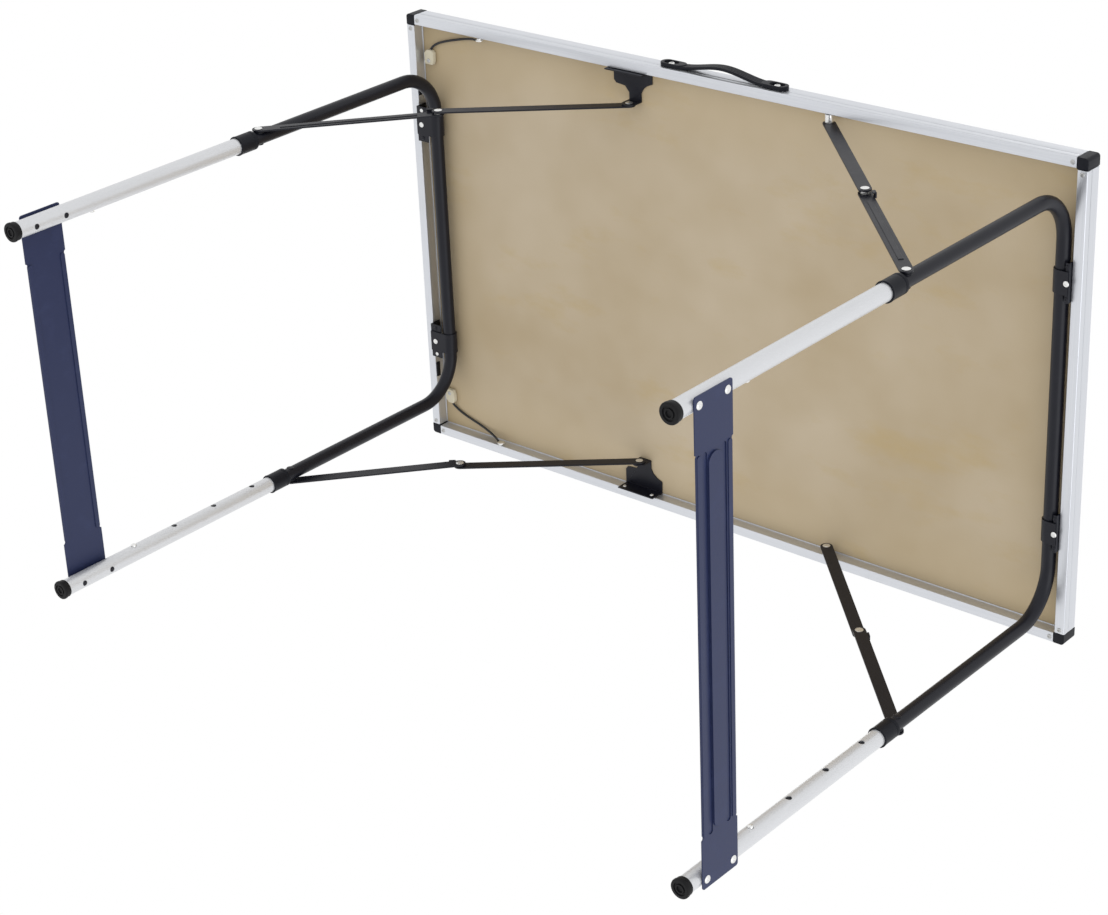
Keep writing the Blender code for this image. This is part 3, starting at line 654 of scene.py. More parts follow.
def wire(name, points, radius, kind="POLY", resolution=10, cyclic=False):
    """A curve with a round section through a run of points."""
    curve = bpy.data.curves.new(name, "CURVE")
    curve.dimensions = "3D"
    curve.bevel_depth = radius
    curve.bevel_resolution = resolution
    curve.use_fill_caps = True
    spline = curve.splines.new(kind)
    spline.points.add(len(points) - 1)
    for point, place in zip(spline.points, points):
        point.co = (*place, 1.0)
    spline.use_cyclic_u = cyclic
    obj = bpy.data.objects.new(name, curve)
    bpy.context.scene.collection.objects.link(obj)
    return obj


def to_mesh(obj):
    """Turns a curve piece into a closed mesh."""
    make_active(obj)
    bpy.ops.object.convert(target="MESH")
    obj = bpy.context.object
    bpy.ops.object.mode_set(mode="EDIT")
    bpy.ops.mesh.select_all(action="SELECT")
    bpy.ops.mesh.remove_doubles(threshold=1e-6)
    bpy.ops.mesh.normals_make_consistent(inside=False)
    bpy.ops.object.mode_set(mode="OBJECT")
    return obj


# Stage

CAMERA_PLACE = (1.80639434, -1.26594337 + MIDDLE_Y, -1.67330188)
CAMERA_RIGHT = (0.76298004, 0.03966928, 0.64520369)
CAMERA_UP = (-0.25540839, -0.89840209, 0.35726774)
CAMERA_BACK = (0.5938249, -0.43737859, -0.675331)
CAMERA_SHIFT = (-0.0006, -0.0050)


def make_camera(studio):
    """Camera under the table's right front corner, looking up at its underside."""
    data = bpy.data.cameras.new("camera")
    data.sensor_width = 36.0
    data.lens = studio.lens
    data.clip_end = 60.0
    data.shift_x, data.shift_y = CAMERA_SHIFT
    camera = bpy.data.objects.new("camera", data)
    columns = [Vector(axis) for axis in (CAMERA_RIGHT, CAMERA_UP, CAMERA_BACK)]
    matrix = Matrix(columns).transposed().to_4x4()
    matrix.translation = Vector(CAMERA_PLACE)
    camera.matrix_world = matrix
    bpy.context.scene.collection.objects.link(camera)
    bpy.context.scene.camera = camera


def make_light(name, at, aim, size, power, colour=(1.0, 1.0, 1.0)):
    data = bpy.data.lights.new(name, "AREA")
    data.shape = "SQUARE"
    data.size = size
    data.energy = power
    data.color = colour
    lamp = bpy.data.objects.new(name, data)
    lamp.location = at
    lamp.rotation_euler = (Vector(at) - Vector(aim)).to_track_quat("Z", "Y").to_euler()
    bpy.context.scene.collection.objects.link(lamp)


def make_floor():
    """Pale floor that is clear from below and lets the light from below through."""
    clear_selection()
    bpy.ops.mesh.primitive_plane_add(size=24, location=(0, MIDDLE_Y, -0.0005))
    floor = bpy.context.object
    floor.name = "floor"
    finish = Finish("floor_pale", (0.80, 0.80, 0.80), roughness=0.9)
    grain = finish.noise(3.0, 2.0, 0.5)
    finish.colour(finish.mixed(grain, (0.78, 0.78, 0.78), (0.84, 0.84, 0.84)))
    from_below = finish.node("ShaderNodeNewGeometry").outputs["Backfacing"]
    clear = finish.node("ShaderNodeBsdfTransparent").outputs["BSDF"]
    pale = finish.shader.outputs["BSDF"]
    mix = finish.node("ShaderNodeMixShader", None, {0: from_below, 1: pale, 2: clear})
    output = finish.tree.nodes["Material Output"]
    finish.feed(output.inputs["Surface"], mix.outputs["Shader"])
    floor.data.materials.append(finish.material)
    floor.visible_shadow = False
    floor.visible_diffuse = False
    floor.visible_glossy = False


def make_world():
    """Even white surroundings."""
    world = bpy.data.worlds.new("studio")
    world.use_nodes = True
    sky = world.node_tree.nodes["Background"]
    sky.inputs["Color"].default_value = (1.0, 1.0, 1.0, 1.0)
    sky.inputs["Strength"].default_value = 1.0
    bpy.context.scene.world = world


class TABLE_OT_stage(bpy.types.Operator):
    """Sets up the camera, the soft lights and the pale floor"""

    bl_idname = "folding_table.stage"
    bl_label = "Stage"

    def execute(self, context):
        studio = context.scene.table_studio
        make_camera(studio)
        make_world()
        context.scene.view_settings.view_transform = "Standard"
        make_floor()
        centre = (0, MIDDLE_Y, 0.5)
        power = studio.light
        make_light("light_key", (0.6, -2.6, -1.6), centre, 2.4, 2.5 * power)
        make_light("light_side", (3.2, 0.8, -0.4), centre, 2.0, 18 * power, (0.92, 0.95, 1.0))
        make_light("light_top", (-0.8, 0.8, 3.4), centre, 2.6, 25 * power)
        return {"FINISHED"}


# Cords

CORD_STEPS = (
    (0.0030, 0.0075, 0.0125),
    (0.0038, 0.0091, 0.0130),
    (0.0050, 0.0108, 0.0136),
    (0.0075, 0.0132, 0.0144),
    (0.0120, 0.0160, 0.0144),
    (0.0185, 0.0188, 0.0144),
    (0.0260, 0.0213, 0.0144),
    (0.0345, 0.0239, 0.0144),
    (0.0440, 0.0264, 0.0144),
    (0.0540, 0.0290, 0.0141),
    (0.0640, 0.0315, 0.0130),
    (0.0735, 0.0336, 0.0111),
    (0.0815, 0.0352, 0.0088),
    (0.0875, 0.0363, 0.0060),
    (0.0922, 0.0370, 0.0038),
)
CLIP_X = -0.4740
CLIP_Y = 0.2460
CORD_RADIUS = 0.0015


class TABLE_OT_cords(bpy.types.Operator):
    """Makes the two short elastic cords at the left end"""

    bl_idname = "folding_table.cords"
    bl_label = "Retaining cords"

    def execute(self, context):
        for side in SIDES:
            sign = side_sign(side)
            route = [
                (CLIP_X + along, MIDDLE_Y + sign * (CLIP_Y + across), LIP_Z + height)
                for along, across, height in CORD_STEPS
            ]
            cord = wire("cord_" + side, route, CORD_RADIUS, "NURBS", 4)
            cord.data.resolution_u = 6
            spline = cord.data.splines[0]
            spline.order_u = 4
            spline.use_endpoint_u = True
            fit_out(cord, "cord", TOP_BODY)
            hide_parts("retaining_cord_" + side)
        return {"FINISHED"}


# Top

CORNER_SCREW_SPOTS = ((0.0190, 0.0066), (0.0066, 0.0190))  # in from the end and the side
CLIP_SCREW_INSET = 0.0045
LEDGE_DROP = 0.0013
LEDGE_THICK = 0.0010
LEDGE_OUT = 0.0008
LEDGE_SUNK = 0.0002
STOP_PAD_Y = 0.2020
STOP_PAD_HALF = 0.0105


class TABLE_OT_top(bpy.types.Operator):
    """Finishes the board, rails and corner blocks and drives in the corner screws"""

    bl_idname = "folding_table.top"
    bl_label = "Board, rails and corners"

    def execute(self, context):
        board = frame["nodes"]["top_board"]
        board.data.materials.clear()
        board.data.materials.append(finish_named("board"))
        for side in SIDES:
            soften("long_rail_" + side, "rail_x", 0.0003)
        screw = screw_head(context.scene.table_hardware.screw_radius, 0.0011)
        for end in ENDS:
            soften("end_rail_" + end, "rail_y", 0.0003)
            for side in SIDES:
                soften("corner_%s_%s" % (end, side), "plastic", 0.0006)
                for index, (in_x, in_y) in enumerate(CORNER_SCREW_SPOTS):
                    x = end_sign(end) * (TOP_HALF_LENGTH - in_x)
                    y = MIDDLE_Y + side_sign(side) * (TOP_HALF_WIDTH - in_y)
                    at = (x, y, LIP_Z)
                    name = "corner_screw_%s_%s_%d" % (end, side, index + 1)
                    stamp(screw, name, at, (0, 0, -1), "screw", TOP_BODY)
        for side in SIDES:
            soften("cord_clip_" + side, "cream", 0.0006)
            soften("cord_rivet_" + side, "zinc", 0.0003)
            at = centre_of("cord_clip_" + side)
            at.y -= side_sign(side) * CLIP_SCREW_INSET
            at.z = corners_of("cord_clip_" + side)[0].z
            stamp(screw, "clip_screw_" + side, at, (0, 0, -1), "screw", TOP_BODY)
        discard(screw)
        self.make_ledges()
        self.make_stop_pads()
        return {"FINISHED"}

    def make_ledges(self):
        """Thin ledge of each rail along the board's underside, left out at the brackets."""
        low_z = BOARD_UNDER_Z - LEDGE_DROP
        high_z = low_z + LEDGE_THICK
        wall_x = corners_of("end_rail_right")[0].x
        wall_y = abs(RAIL_INNER_Y - MIDDLE_Y)
        bracket_low, bracket_high = corners_of("brace_bracket_front")
        runs = ((-wall_x, bracket_low.x - 0.001), (bracket_high.x + 0.001, wall_x))
        for side in SIDES:
            sign = side_sign(side)
            for index, (start, end) in enumerate(runs):
                low = (start, MIDDLE_Y + sign * (wall_y - LEDGE_OUT), low_z)
                high = (end, MIDDLE_Y + sign * (wall_y + LEDGE_SUNK), high_z)
                strip = block("ledge_%s_%d" % (side, index + 1), low, high, 0.0002)
                fit_out(settle(strip), "rail_x", TOP_BODY)
        for end in ENDS:
            sign = end_sign(end)
            low = (sign * (wall_x - LEDGE_OUT), MIDDLE_Y - wall_y + 0.001, low_z)
            high = (sign * (wall_x + LEDGE_SUNK), MIDDLE_Y + wall_y - 0.001, high_z)
            strip = block("ledge_" + end, low, high, 0.0002)
            fit_out(settle(strip), "rail_y", TOP_BODY)

    def make_stop_pads(self):
        """Small pads on the left end rail's inner wall, beside the clamps."""
        wall_x = corners_of("end_rail_left")[1].x
        for side in SIDES:
            centre = MIDDLE_Y + side_sign(side) * STOP_PAD_Y
            low = (wall_x - 0.0001, centre - STOP_PAD_HALF, LIP_Z + 0.0008)
            high = (wall_x + 0.0018, centre + STOP_PAD_HALF, LIP_Z + 0.0070)
            pad = block("stop_pad_" + side, low, high, 0.0005)
            fit_out(settle(pad), "plastic", TOP_BODY)


# Leg frames

BEND_RADIUS = 0.058
BEND_STEPS = 20
STUD_HEAD_DEPTH = 0.0007  # from a brace stud's tip down to the seat of its head


def frame_route(end):
    """Centre line of the bent tube, from one lower end round to the other."""
    x = centre_of("foot_cap_%s_front" % end).x
    y_front = centre_of("foot_cap_%s_front" % end).y
    y_back = centre_of("foot_cap_%s_back" % end).y
    low, high = corners_of("leg_frame_" + end)
    axis_z = high.z - TUBE_RADIUS
    points = [(x, y_front, low.z)]
    for index in range(BEND_STEPS + 1):
        angle = math.pi / 2 * index / BEND_STEPS
        y = y_front + BEND_RADIUS - BEND_RADIUS * math.cos(angle)
        points.append((x, y, axis_z - BEND_RADIUS + BEND_RADIUS * math.sin(angle)))
    mirrored = [(x, y_front + y_back - y, z) for x, y, z in reversed(points)]
    return points + mirrored


class TABLE_OT_leg_frames(bpy.types.Operator):
    """Bends the two upper tubes and sets the rivets that carry the braces"""

    bl_idname = "folding_table.leg_frames"
    bl_label = "Leg frames"

    def execute(self, context):
        radius = context.scene.table_hardware.brace_rivet_radius
        head = rivet_head(radius, 0.0011, False)
        spacer = lathe(
            "spacer_master",
            [(0.0060, 0.0), (0.0066, 0.0006), (0.0066, 0.0022), (0.0058, 0.0030)],
            28,
        )
        for end in ENDS:
            tube = to_mesh(wire("bent_tube_" + end, frame_route(end), TUBE_RADIUS, "POLY", 10))
            settle(tube, 40)
            body = end + "_leg_frame"
            fit_out(tube, "coat", body)
            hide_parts("leg_frame_" + end)
            for side in SIDES:
                sign = side_sign(side)
                pivot = joint_place("%s_%s_leg_link_turn" % (end, side))
                far = reach_of("leg_frame_" + end)[1]
                name = "%s_%s" % (end, side)
                at = (pivot.x, MIDDLE_Y + sign * (far - STUD_HEAD_DEPTH), pivot.z)
                stamp(head, "leg_rivet_" + name, at, (0, sign, 0), "zinc", body)
                inner_y = pivot.y - sign * (TUBE_RADIUS - 0.0006)
                inner = (pivot.x, inner_y, pivot.z)
                stamp(head, "leg_rivet_tail_" + name, inner, (0, -sign, 0), "coat", body)
                seat = (pivot.x, pivot.y + sign * (TUBE_RADIUS - 0.0022), pivot.z)
                stamp(spacer, "leg_spacer_" + name, seat, (0, sign, 0), "plastic", body)
        discard(head, spacer)
        return {"FINISHED"}


# Lower legs

STOP_HOLES = 4
STOP_HOLE_RADIUS = 0.0036
COLLAR_GRIP = LOWER_RADIUS + 0.0003


class TABLE_OT_lower_legs(bpy.types.Operator):
    """Makes the silver tubes with their row of holes, the collars, foot caps and buttons"""

    bl_idname = "folding_table.lower_legs"
    bl_label = "Lower legs"

    hole_step: bpy.props.FloatProperty(
        name="Hole step",
        description="Distance between two stop holes",
        default=0.0665,
        unit="LENGTH",
    )

    def execute(self, context):
        for end in ENDS:
            for side in SIDES:
                self.make_leg(end, side)
        return {"FINISHED"}

    def make_leg(self, end, side):
        """One silver tube, drilled through its inner wall, with its collar, cap and button."""
        name = "%s_%s" % (end, side)
        body = end + "_lower_legs"
        sign = side_sign(side)
        centre = centre_of("foot_cap_" + name)
        tube_low, tube_high = corners_of("lower_tube_" + name)
        button = centre_of("snap_button_" + name)
        holes = [button.z + index * self.hole_step for index in range(STOP_HOLES)]
        levels = [tube_low.z]
        for z in holes:
            levels += [z - 0.006, z - 0.003, z + 0.003, z + 0.006]
        levels.append(tube_high.z)
        outer = [(LOWER_RADIUS, z) for z in levels]
        inner = [(LOWER_BORE, tube_high.z), (LOWER_BORE, tube_low.z)]
        profile = outer + inner + [outer[0]]
        tube = lathe("silver_tube_" + name, profile, 48, closed=True)
        tube.location.x += centre.x
        tube.location.y += centre.y
        for z in holes:
            clear_selection()
            bpy.ops.mesh.primitive_cylinder_add(
                vertices=24,
                radius=STOP_HOLE_RADIUS,
                depth=0.012,
                location=(centre.x, centre.y - sign * LOWER_RADIUS, z),
                rotation=(math.pi / 2, 0, 0),
            )
            cut_with(tube, bpy.context.object)
        settle(tube, 32)
        fit_out(tube, "silver", body)
        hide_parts("lower_tube_" + name)
        self.make_collar(name, centre, body)
        self.make_cap(name, centre, body)
        soften("snap_button_" + name, "zinc", 0.0002)

    def make_collar(self, name, centre, body):
        """Plastic collar with a rim, a taper and one groove, open for both tubes."""
        low, high = corners_of("collar_" + name)
        rim = (high.x - low.x) / 2
        sleeve = rim - 0.0004
        profile = [
            (COLLAR_GRIP, low.z),
            (rim - 0.0004, low.z),
            (rim, low.z + 0.0006),
            (rim, low.z + 0.0016),
            (sleeve, low.z + 0.0034),
            (sleeve, high.z - 0.0070),
            (sleeve - 0.0005, high.z - 0.0064),
            (sleeve - 0.0005, high.z - 0.0056),
            (sleeve, high.z - 0.0050),
            (sleeve, high.z - 0.0016),
            (sleeve - 0.0014, high.z - 0.0002),
            (TUBE_RADIUS + 0.0012, high.z),
            (TUBE_RADIUS + 0.0003, high.z - 0.0006),
            (TUBE_RADIUS + 0.0003, high.z - 0.0022),
            (COLLAR_GRIP, high.z - 0.0024),
            (COLLAR_GRIP, low.z),
        ]
        collar = lathe("sleeve_" + name, profile, 44, closed=True)
        self.set_on_leg(collar, centre, "plastic", body, "collar_" + name)

    def make_cap(self, name, centre, body):
        """Foot cap with two rings under its sole."""
        low, high = corners_of("foot_cap_" + name)
        rim = (high.x - low.x) / 2
        profile = [
            (0.0020, 0.0014),
            (0.0034, 0.0014),
            (0.0038, 0.0),
            (0.0052, 0.0),
            (0.0056, 0.0012),
            (0.0072, 0.0012),
            (0.0076, 0.0),
            (rim - 0.0014, 0.0),
            (rim - 0.0004, 0.0004),
            (rim, 0.0014),
            (rim, 0.0034),
            (rim - 0.0006, 0.0040),
            (rim - 0.0006, high.z - 0.0010),
            (rim - 0.0012, high.z),
            (COLLAR_GRIP, high.z),
            (COLLAR_GRIP, 0.0031),
        ]
        cap = lathe("foot_" + name, profile, 44)
        self.set_on_leg(cap, centre, "rubber", body, "foot_cap_" + name)

    def set_on_leg(self, obj, centre, finish, body, node):
        """Moves a turned piece onto its leg's axis, where it stands for its node."""
        obj.location.x += centre.x
        obj.location.y += centre.y
        settle(obj, 40)
        fit_out(obj, finish, body)
        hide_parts(node)


# Cross panels

PANEL_SHEET = 0.0013
PANEL_RIVET_INSET = 0.0075
NOTCH_WIDTH = 0.0060
ROLL_WIDTH = 0.0062  # rolled edge along each long side
ROLL_INSET = 0.0055
FIELD_WIDTH = 0.0215  # raised strip along the middle
GROOVE_WIDTH = 0.0070  # sunk line on each side of the strip
GROOVE_PLACE = 0.0147


class TABLE_OT_cross_panels(bpy.types.Operator):
    """Presses the two cross panels, with their channel and flanges, and sets their rivets"""

    bl_idname = "folding_table.cross_panels"
    bl_label = "Cross panels"

    flat_end: bpy.props.FloatProperty(
        name="Flat end",
        description="Length of the flat plate at each end of a panel",
        default=0.0585,
        unit="LENGTH",
    )

    def execute(self, context):
        radius = context.scene.table_hardware.panel_rivet_radius
        head = rivet_head(radius, 0.0016)
        tail = rivet_head(0.0034, 0.0012, False)
        for end in ENDS:
            sign = end_sign(end)
            low, high = corners_of("cross_panel_" + end)
            inner = min(abs(low.x), abs(high.x))
            self.make_panel(end, sign, inner, low, high)
            body = end + "_lower_legs"
            for side in SIDES:
                leg = centre_of("foot_cap_%s_%s" % (end, side))
                levels = (low.z + PANEL_RIVET_INSET, high.z - PANEL_RIVET_INSET)
                for index, z in enumerate(levels):
                    name = "%s_%s_%d" % (end, side, index + 1)
                    at = (sign * (inner + PANEL_SHEET - 0.0001), leg.y, z)
                    stamp(head, "panel_rivet_" + name, at, (sign, 0, 0), "zinc", body)
                    back = (leg.x - sign * (LOWER_RADIUS - 0.0005), leg.y, z)
                    stamp(tail, "panel_rivet_tail_" + name, back, (-sign, 0, 0), "coat", body)
        discard(head, tail)
        return {"FINISHED"}

    def make_panel(self, end, sign, inner, low, high):
        """One pressed panel, modelled lying flat: X along it, Z out of its face."""
        length = high.y - low.y
        width = high.z - low.z
        channel = length - 2 * self.flat_end
        corner = Vector((length / 2, width / 2, PANEL_SHEET))
        panel = block("pressed_panel_" + end, (-corner.x, -corner.y, 0), corner)
        self.round_corners(panel, 0.0030)
        for edge in (-1, 1):
            notch = centred_block("notch", (channel, NOTCH_WIDTH, 0.02))
            notch.location.y = edge * (width / 2 + 0.0008)
            self.round_corners(notch, 0.0022)
            cut_with(panel, notch)
        for edge in (-1, 1):
            roll = self.stadium("roll", channel - 0.004, ROLL_WIDTH, 0.0034, -0.0012)
            roll.location.y = edge * (width / 2 - ROLL_INSET)
            cut_with(panel, roll, "UNION")
        field = self.stadium("field", channel - 0.010, FIELD_WIDTH, 0.0027, 0.0004)
        cut_with(panel, field, "UNION")
        for edge in (-1, 1):
            groove = self.stadium("groove", channel - 0.003, GROOVE_WIDTH, 0.006, 0.0003)
            groove.location.y = edge * GROOVE_PLACE
            cut_with(panel, groove)
        rounding = panel.modifiers.new("rounding", "BEVEL")
        rounding.width = 0.0008
        rounding.segments = 3
        rounding.angle_limit = math.radians(45)
        turn = Matrix(((0, 0, sign), (1, 0, 0), (0, sign, 0))).to_4x4()
        middle = Vector((sign * inner, (low.y + high.y) / 2, (low.z + high.z) / 2))
        panel.matrix_world = Matrix.Translation(middle) @ turn
        settle(panel, 32)
        fit_out(panel, "panel", end + "_lower_legs")
        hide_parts("cross_panel_" + end)

    def stadium(self, name, length, width, tall, base):
        """Flat bar with round ends, from a disc whose halves are pulled apart."""
        clear_selection()
        bpy.ops.mesh.primitive_cylinder_add(
            vertices=32, radius=width / 2, depth=tall, location=(0, 0, base + tall / 2)
        )
        obj = bpy.context.object
        obj.name = name
        bpy.ops.object.transform_apply(location=True, rotation=False, scale=False)
        pull_apart(obj, (length - width) / 2)
        return obj

    def round_corners(self, obj, width):
        """Rounds the four upright edges."""
        points = obj.data.vertices

        def upright(edge):
            start, end = (points[index].co for index in edge.vertices)
            return abs(start.z - end.z) > 1e-6

        pick(obj, "EDGE", upright)
        bpy.ops.mesh.bevel(offset=width, segments=4, affect="EDGES")
        bpy.ops.object.mode_set(mode="OBJECT")


# Clamps

CLAMP_RIVET_STEP = 0.0190  # from the strap's rivet to each small rivet of the base


class TABLE_OT_clamps(bpy.types.Operator):
    """Finishes the clamps that hold the cross tubes and sets their rivets"""

    bl_idname = "folding_table.clamps"
    bl_label = "Clamps"

    def execute(self, context):
        big = rivet_head(0.0036, 0.0014)
        small = rivet_head(context.scene.table_hardware.small_rivet_radius, 0.0011)
        for end in ENDS:
            for side in SIDES:
                name = "%s_%s" % (end, side)
                soften("clamp_base_" + name, "coat", 0.0004)
                soften("clamp_strap_" + name, "coat", 0.0003)
                middle = centre_of("clamp_base_" + name)
                base_z = corners_of("clamp_base_" + name)[0].z
                strap_z = corners_of("clamp_strap_" + name)[0].z
                at = (middle.x, middle.y, strap_z)
                stamp(big, "clamp_rivet_" + name, at, (0, 0, -1), "zinc", TOP_BODY)
                for index, step in enumerate((-1, 1)):
                    at = (middle.x, middle.y + step * CLAMP_RIVET_STEP, base_z)
                    rivet = "clamp_base_rivet_%s_%d" % (name, index + 1)
                    bright = end == "left" and step == side_sign(side)
                    stamp(small, rivet, at, (0, 0, -1), "zinc" if bright else "coat", TOP_BODY)
        discard(big, small)
        return {"FINISHED"}


# Braces

KNEE_BOSS_TALL = 0.0004
BRACKET_SHEET = 0.0018
PIN_STANDS = 0.0003  # how far a pin stands out of its link
PIN_LENGTH = 0.0041
RIB_SHORTER = 0.052  # the rib stops short of the link's two pivots
STOP_PLACE = (0.0105, 0.0092)  # from the knee, along the link and off it


class TABLE_OT_braces(bpy.types.Operator):
    """Finishes the links, brackets and studs and adds ribs, stops and rivet heads"""

    bl_idname = "folding_table.braces"
    bl_label = "Braces"

    def execute(self, context):
        hardware = context.scene.table_hardware
        coat = tuple(context.scene.table_finishes.coat)
        head = rivet_head(hardware.brace_rivet_radius, 0.0010, False)
        thin = rivet_head(hardware.brace_rivet_radius, 0.0005, False)
        small = rivet_head(hardware.small_rivet_radius, 0.0012)
        for end in ENDS:
            for side in SIDES:
                self.make_brace(end, side, coat)
        for side in SIDES:
            sign = side_sign(side)
            soften("brace_bracket_" + side, "coat", 0.0004)
            soften("rail_stud_" + side, "zinc", 0.0003)
            low, high = corners_of("brace_bracket_" + side)
            flange = MIDDLE_Y + sign * (abs(RAIL_INNER_Y - MIDDLE_Y) - BRACKET_SHEET)
            for index, x in enumerate((low.x + 0.0085, high.x - 0.0065)):
                at = (x, flange, LIP_Z + 0.0015)
                rivet = "bracket_rivet_%s_%d" % (side, index + 1)
                stamp(small, rivet, at, (0, -sign, 0), "zinc", TOP_BODY)
            pivot = joint_place("left_%s_top_link_turn" % side)
            link_near = reach_of("top_link_left_" + side)[0]
            inner = (pivot.x, MIDDLE_Y + sign * (link_near - PIN_STANDS), pivot.z)
            stamp(thin, "bracket_pin_head_" + side, inner, (0, -sign, 0), "zinc", TOP_BODY)
            outer = (pivot.x, MIDDLE_Y + sign * (link_near + PIN_LENGTH), pivot.z)
            stamp(head, "bracket_pin_tail_" + side, outer, (0, sign, 0), "zinc", TOP_BODY)
            pivot = joint_place("right_%s_top_link_turn" % side)
            link_near = reach_of("top_link_right_" + side)[0]
            inner = (pivot.x, MIDDLE_Y + sign * (link_near - PIN_STANDS), pivot.z)
            stamp(thin, "stud_head_" + side, inner, (0, -sign, 0), "zinc", TOP_BODY)
        discard(head, thin, small)
        return {"FINISHED"}

    def make_brace(self, end, side, coat):
        """Finishes one pair of links and adds the rib and the stop ear."""
        name = "%s_%s" % (end, side)
        sign = side_sign(side)
        leg = joint_place(name + "_leg_link_turn")
        rail = joint_place(name + "_top_link_turn")
        knee = centre_of("knee_rivet_" + name)
        link_y = reach_of("leg_link_" + name)[1] - KNEE_BOSS_TALL - LINK_SHEET
        finish = leg_link_finish("powder_coat_link_" + name, coat, knee, link_y)
        soften("leg_link_" + name, finish, 0.0004)
        soften("top_link_" + name, "coat", 0.0004)
        soften("knee_rivet_" + name, "zinc", 0.0)
        self.make_rib(name, leg, knee, sign, link_y)
        self.make_stop(name, rail, knee, sign, link_y, end)

    def make_rib(self, name, leg, knee, sign, link_y):
        """Long pressed rib on the outer face of the leg link."""
        along = Vector((knee.x - leg.x, 0, knee.z - leg.z))
        length = along.length - RIB_SHORTER
        middle = leg + along * 0.5
        rib = centred_block("link_rib_" + name, (length, 0.0060, 0.0016), 0.00075, 4)
        facing = Vector((0, sign, 0))
        side_axis = facing.cross(along.normalized())
        turn = Matrix((along.normalized(), side_axis, facing)).transposed().to_4x4()
        face = MIDDLE_Y + sign * (link_y + LINK_SHEET)
        rib.matrix_world = Matrix.Translation((middle.x, face, middle.z)) @ turn
        settle(rib, 40)
        fit_out(rib, "coat", name + "_leg_link")

    def make_stop(self, name, rail, knee, sign, link_y, end):
        """Stop ear beside the knee, bent over the leg link from the top link."""
        towards = Vector((knee.x - rail.x, 0, knee.z - rail.z)).normalized()
        corner_side = Vector((end_sign(end) * -towards.z, 0, end_sign(end) * towards.x))
        if corner_side.z < 0:
            corner_side = -corner_side
        top_far = reach_of("top_link_" + name)[1]
        near = link_y + 0.0002
        centre = knee + towards * STOP_PLACE[0] + corner_side * STOP_PLACE[1]
        ear = centred_block("knee_stop_" + name, (0.0090, 0.0022, top_far - near), 0.0007)
        facing = Vector((0, sign, 0))
        outwards = facing.cross(towards)
        root = centred_block("stop_root", (0.0080, 0.0036, LINK_SHEET * 0.8))
        root.location = (0, -0.0016 * outwards.dot(corner_side), (top_far - near - LINK_SHEET) / 2)
        cut_with(ear, root, "UNION")
        turn = Matrix((towards, outwards, facing)).transposed().to_4x4()
        centre.y = MIDDLE_Y + sign * (near + top_far) / 2
        ear.matrix_world = Matrix.Translation(centre) @ turn
        settle(ear, 40)
        fit_out(ear, "coat", name + "_top_link")


# Handle

BAND_THICK = 0.0038
BAND_ROOT = 0.0024  # distance of the band's middle from the rail, at its ends
BAND_HALF = 0.070
BAND_STEPS = 48
BAND_RIBS = 5
HUMP_HALF = 0.064
PAD_LENGTH = 0.0360
PAD_TALL = 0.0050


